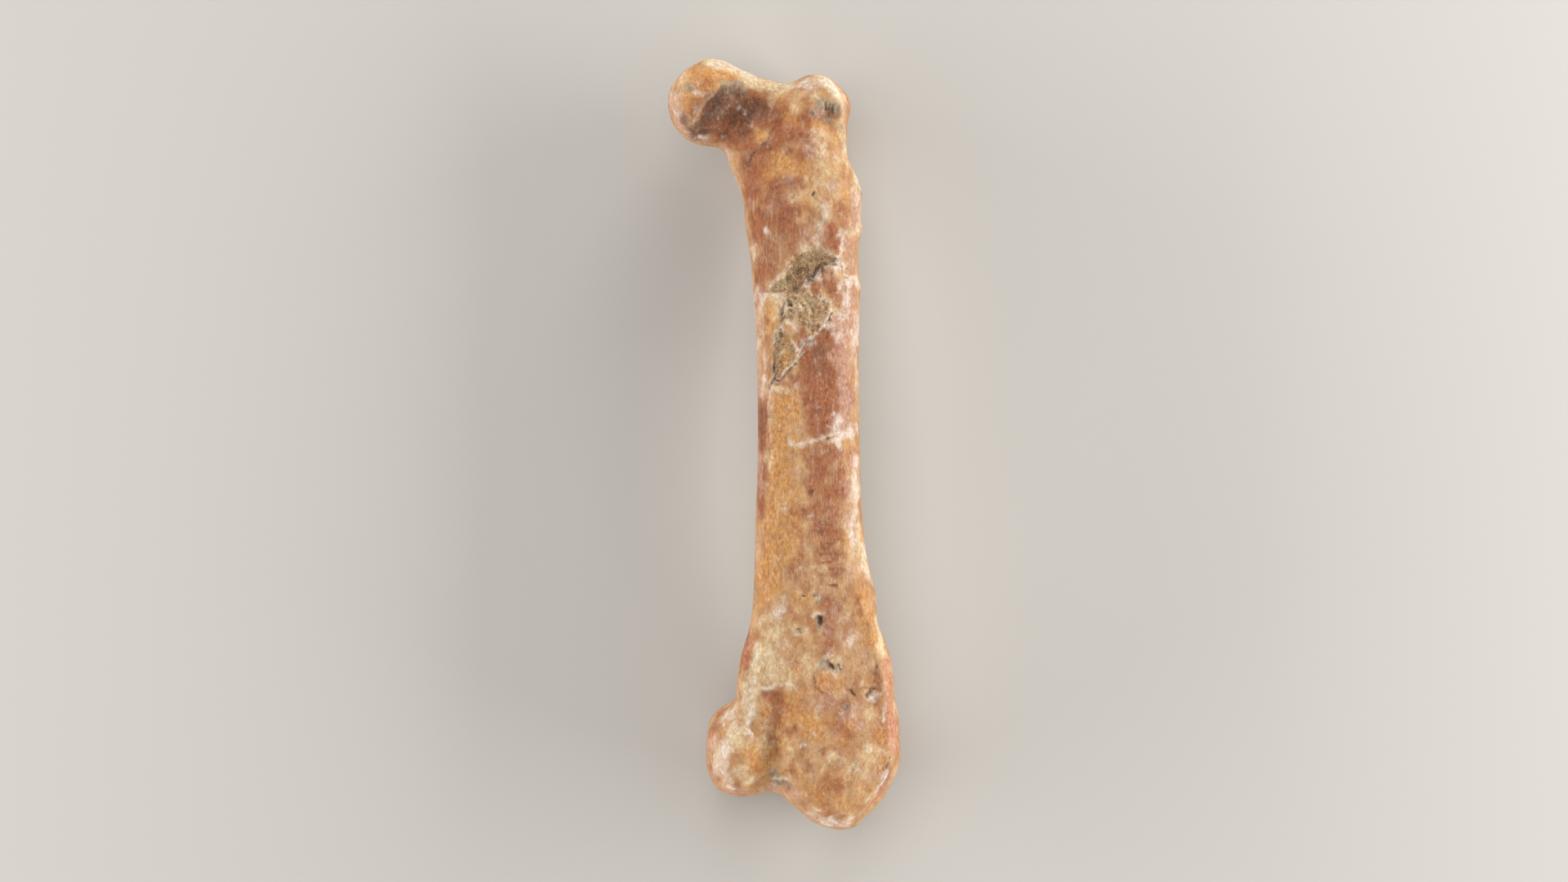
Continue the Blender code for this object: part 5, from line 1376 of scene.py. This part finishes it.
tree, given = geometry_tree("scattered_grains", {
    "Field": "NodeSocketString",
    "Grain size": "NodeSocketFloat",
    "Grains per area": "NodeSocketFloat",
    "Seed": "NodeSocketInt",
    "Material": "NodeSocketMaterial",
})
share = add(tree, "GeometryNodeInputNamedAttribute", {"Name": given["Field"]}, data_type="FLOAT").outputs[0]
inside = add(tree, "FunctionNodeCompare", {0: share, 1: SEDIMENT_FROM}, operation="GREATER_THAN").outputs[0]
density = add(
    tree, "ShaderNodeMath", {0: share, 1: given["Grains per area"]}, operation="MULTIPLY"
).outputs[0]
seats = add(
    tree, "GeometryNodeDistributePointsOnFaces",
    {"Mesh": given["Geometry"], "Selection": inside, "Density": density, "Seed": given["Seed"]},
)
ball = add(tree, "GeometryNodeMeshIcoSphere", {"Radius": given["Grain size"], "Subdivisions": 1}).outputs[0]
squash = add(
    tree, "FunctionNodeRandomValue", {0: SMALLEST, 1: LARGEST, "Seed": given["Seed"]},
    data_type="FLOAT_VECTOR",
).outputs[0]
turn = add(
    tree, "FunctionNodeRandomValue", {0: (0, 0, 0), 1: (math.tau,) * 3, "Seed": given["Seed"]},
    data_type="FLOAT_VECTOR",
).outputs[0]
grains = add(
    tree, "GeometryNodeInstanceOnPoints",
    {"Points": seats.outputs[0], "Instance": ball, "Rotation": turn, "Scale": squash},
).outputs[0]
shade = add(
    tree, "FunctionNodeRandomValue", {2: 0.0, 3: 1.0, "Seed": given["Seed"]}, data_type="FLOAT"
).outputs[1]
toned = add(
    tree, "GeometryNodeStoreNamedAttribute", {"Geometry": grains, "Name": "tone", "Value": shade},
    data_type="FLOAT", domain="INSTANCE",
).outputs[0]
real = add(tree, "GeometryNodeRealizeInstances", {"Geometry": toned}).outputs[0]
finished = add(tree, "GeometryNodeSetMaterial", {"Geometry": real, "Material": given["Material"]}).outputs[0]
add(tree, "NodeGroupOutput", {"Geometry": finished})

grains = bpy.data.objects.new("sediment_grains", bone.data.copy())
bpy.context.scene.collection.objects.link(grains)
run_tree(grains, tree, {
    "Field": "sediment",
    "Grain size": 0.5 * MM,
    "Grains per area": 9 / MM**2,
    "Seed": 3,
    "Material": cemented_silt,
})
print("grains:", len(grains.data.polygons), "faces")

# %% [markdown]
# Floor and light
#
# A plain pale floor carries the bone. The light is soft and nearly frontal, as in the photo, with long low
# strips at both sides and past the hip end: their glancing light gives the outline its bright rims.

# %% Stage the floor and hang the lights
FLOOR_SIZE = 3.0
BOARD_ROUGHNESS = 0.9
STUDIO_GLOW = 0.2
LIGHTS = {
    # place and size in metres, power in watts
    "soft_box": ((-0.25, 0.2, 1.1), (0.9, 0.7), 3.8),
    "outer_strip": ((0.55, 0.0, 0.2), (0.7, 0.12), 4.0),
    "inner_strip": ((-0.55, -0.04, 0.14), (0.7, 0.12), 3.0),
    "hip_strip": ((0.05, 0.6, 0.22), (0.5, 0.12), 2.4),
    "knee_strip": ((0.0, -0.6, 0.16), (0.5, 0.12), 1.8),
}

corners = [(x * FLOOR_SIZE / 2, y * FLOOR_SIZE / 2, 0) for x, y in ((-1, -1), (1, -1), (1, 1), (-1, 1))]
floor_mesh = bpy.data.meshes.new("floor")
floor_mesh.from_pydata(corners, [], [(0, 1, 2, 3)])
floor = bpy.data.objects.new("floor", floor_mesh)
bpy.context.scene.collection.objects.link(floor)
board = bpy.data.materials.new("pale_board")
board.use_nodes = True
shader = board.node_tree.nodes["Principled BSDF"]
shader.inputs["Base Color"].default_value = linear("#BEBAB3")
shader.inputs["Roughness"].default_value = BOARD_ROUGHNESS
floor.data.materials.append(board)

for name, (spot, size, power) in LIGHTS.items():
    light = bpy.data.lights.new(name, "AREA")
    light.shape = "RECTANGLE"
    light.size, light.size_y = size
    light.energy = power
    lamp = bpy.data.objects.new(name, light)
    lamp.location = spot
    lamp.rotation_euler = (-Vector(spot)).to_track_quat("-Z", "Y").to_euler()
    bpy.context.scene.collection.objects.link(lamp)

world = bpy.data.worlds.new("dim_studio")
world.use_nodes = True
world.node_tree.nodes["Background"].inputs["Color"].default_value = linear("#FFFFFF")
world.node_tree.nodes["Background"].inputs["Strength"].default_value = STUDIO_GLOW
bpy.context.scene.world = world
bpy.context.scene.view_settings.view_transform = "Standard"
print(len(LIGHTS), "lights")

# %% [markdown]
# Attach the pieces
#
# The skin stands for the solid bone, and the grains ride with it.

# %% Ride, replace and finish
for piece in (bone, grains):
    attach(piece, "root")
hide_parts("femur")
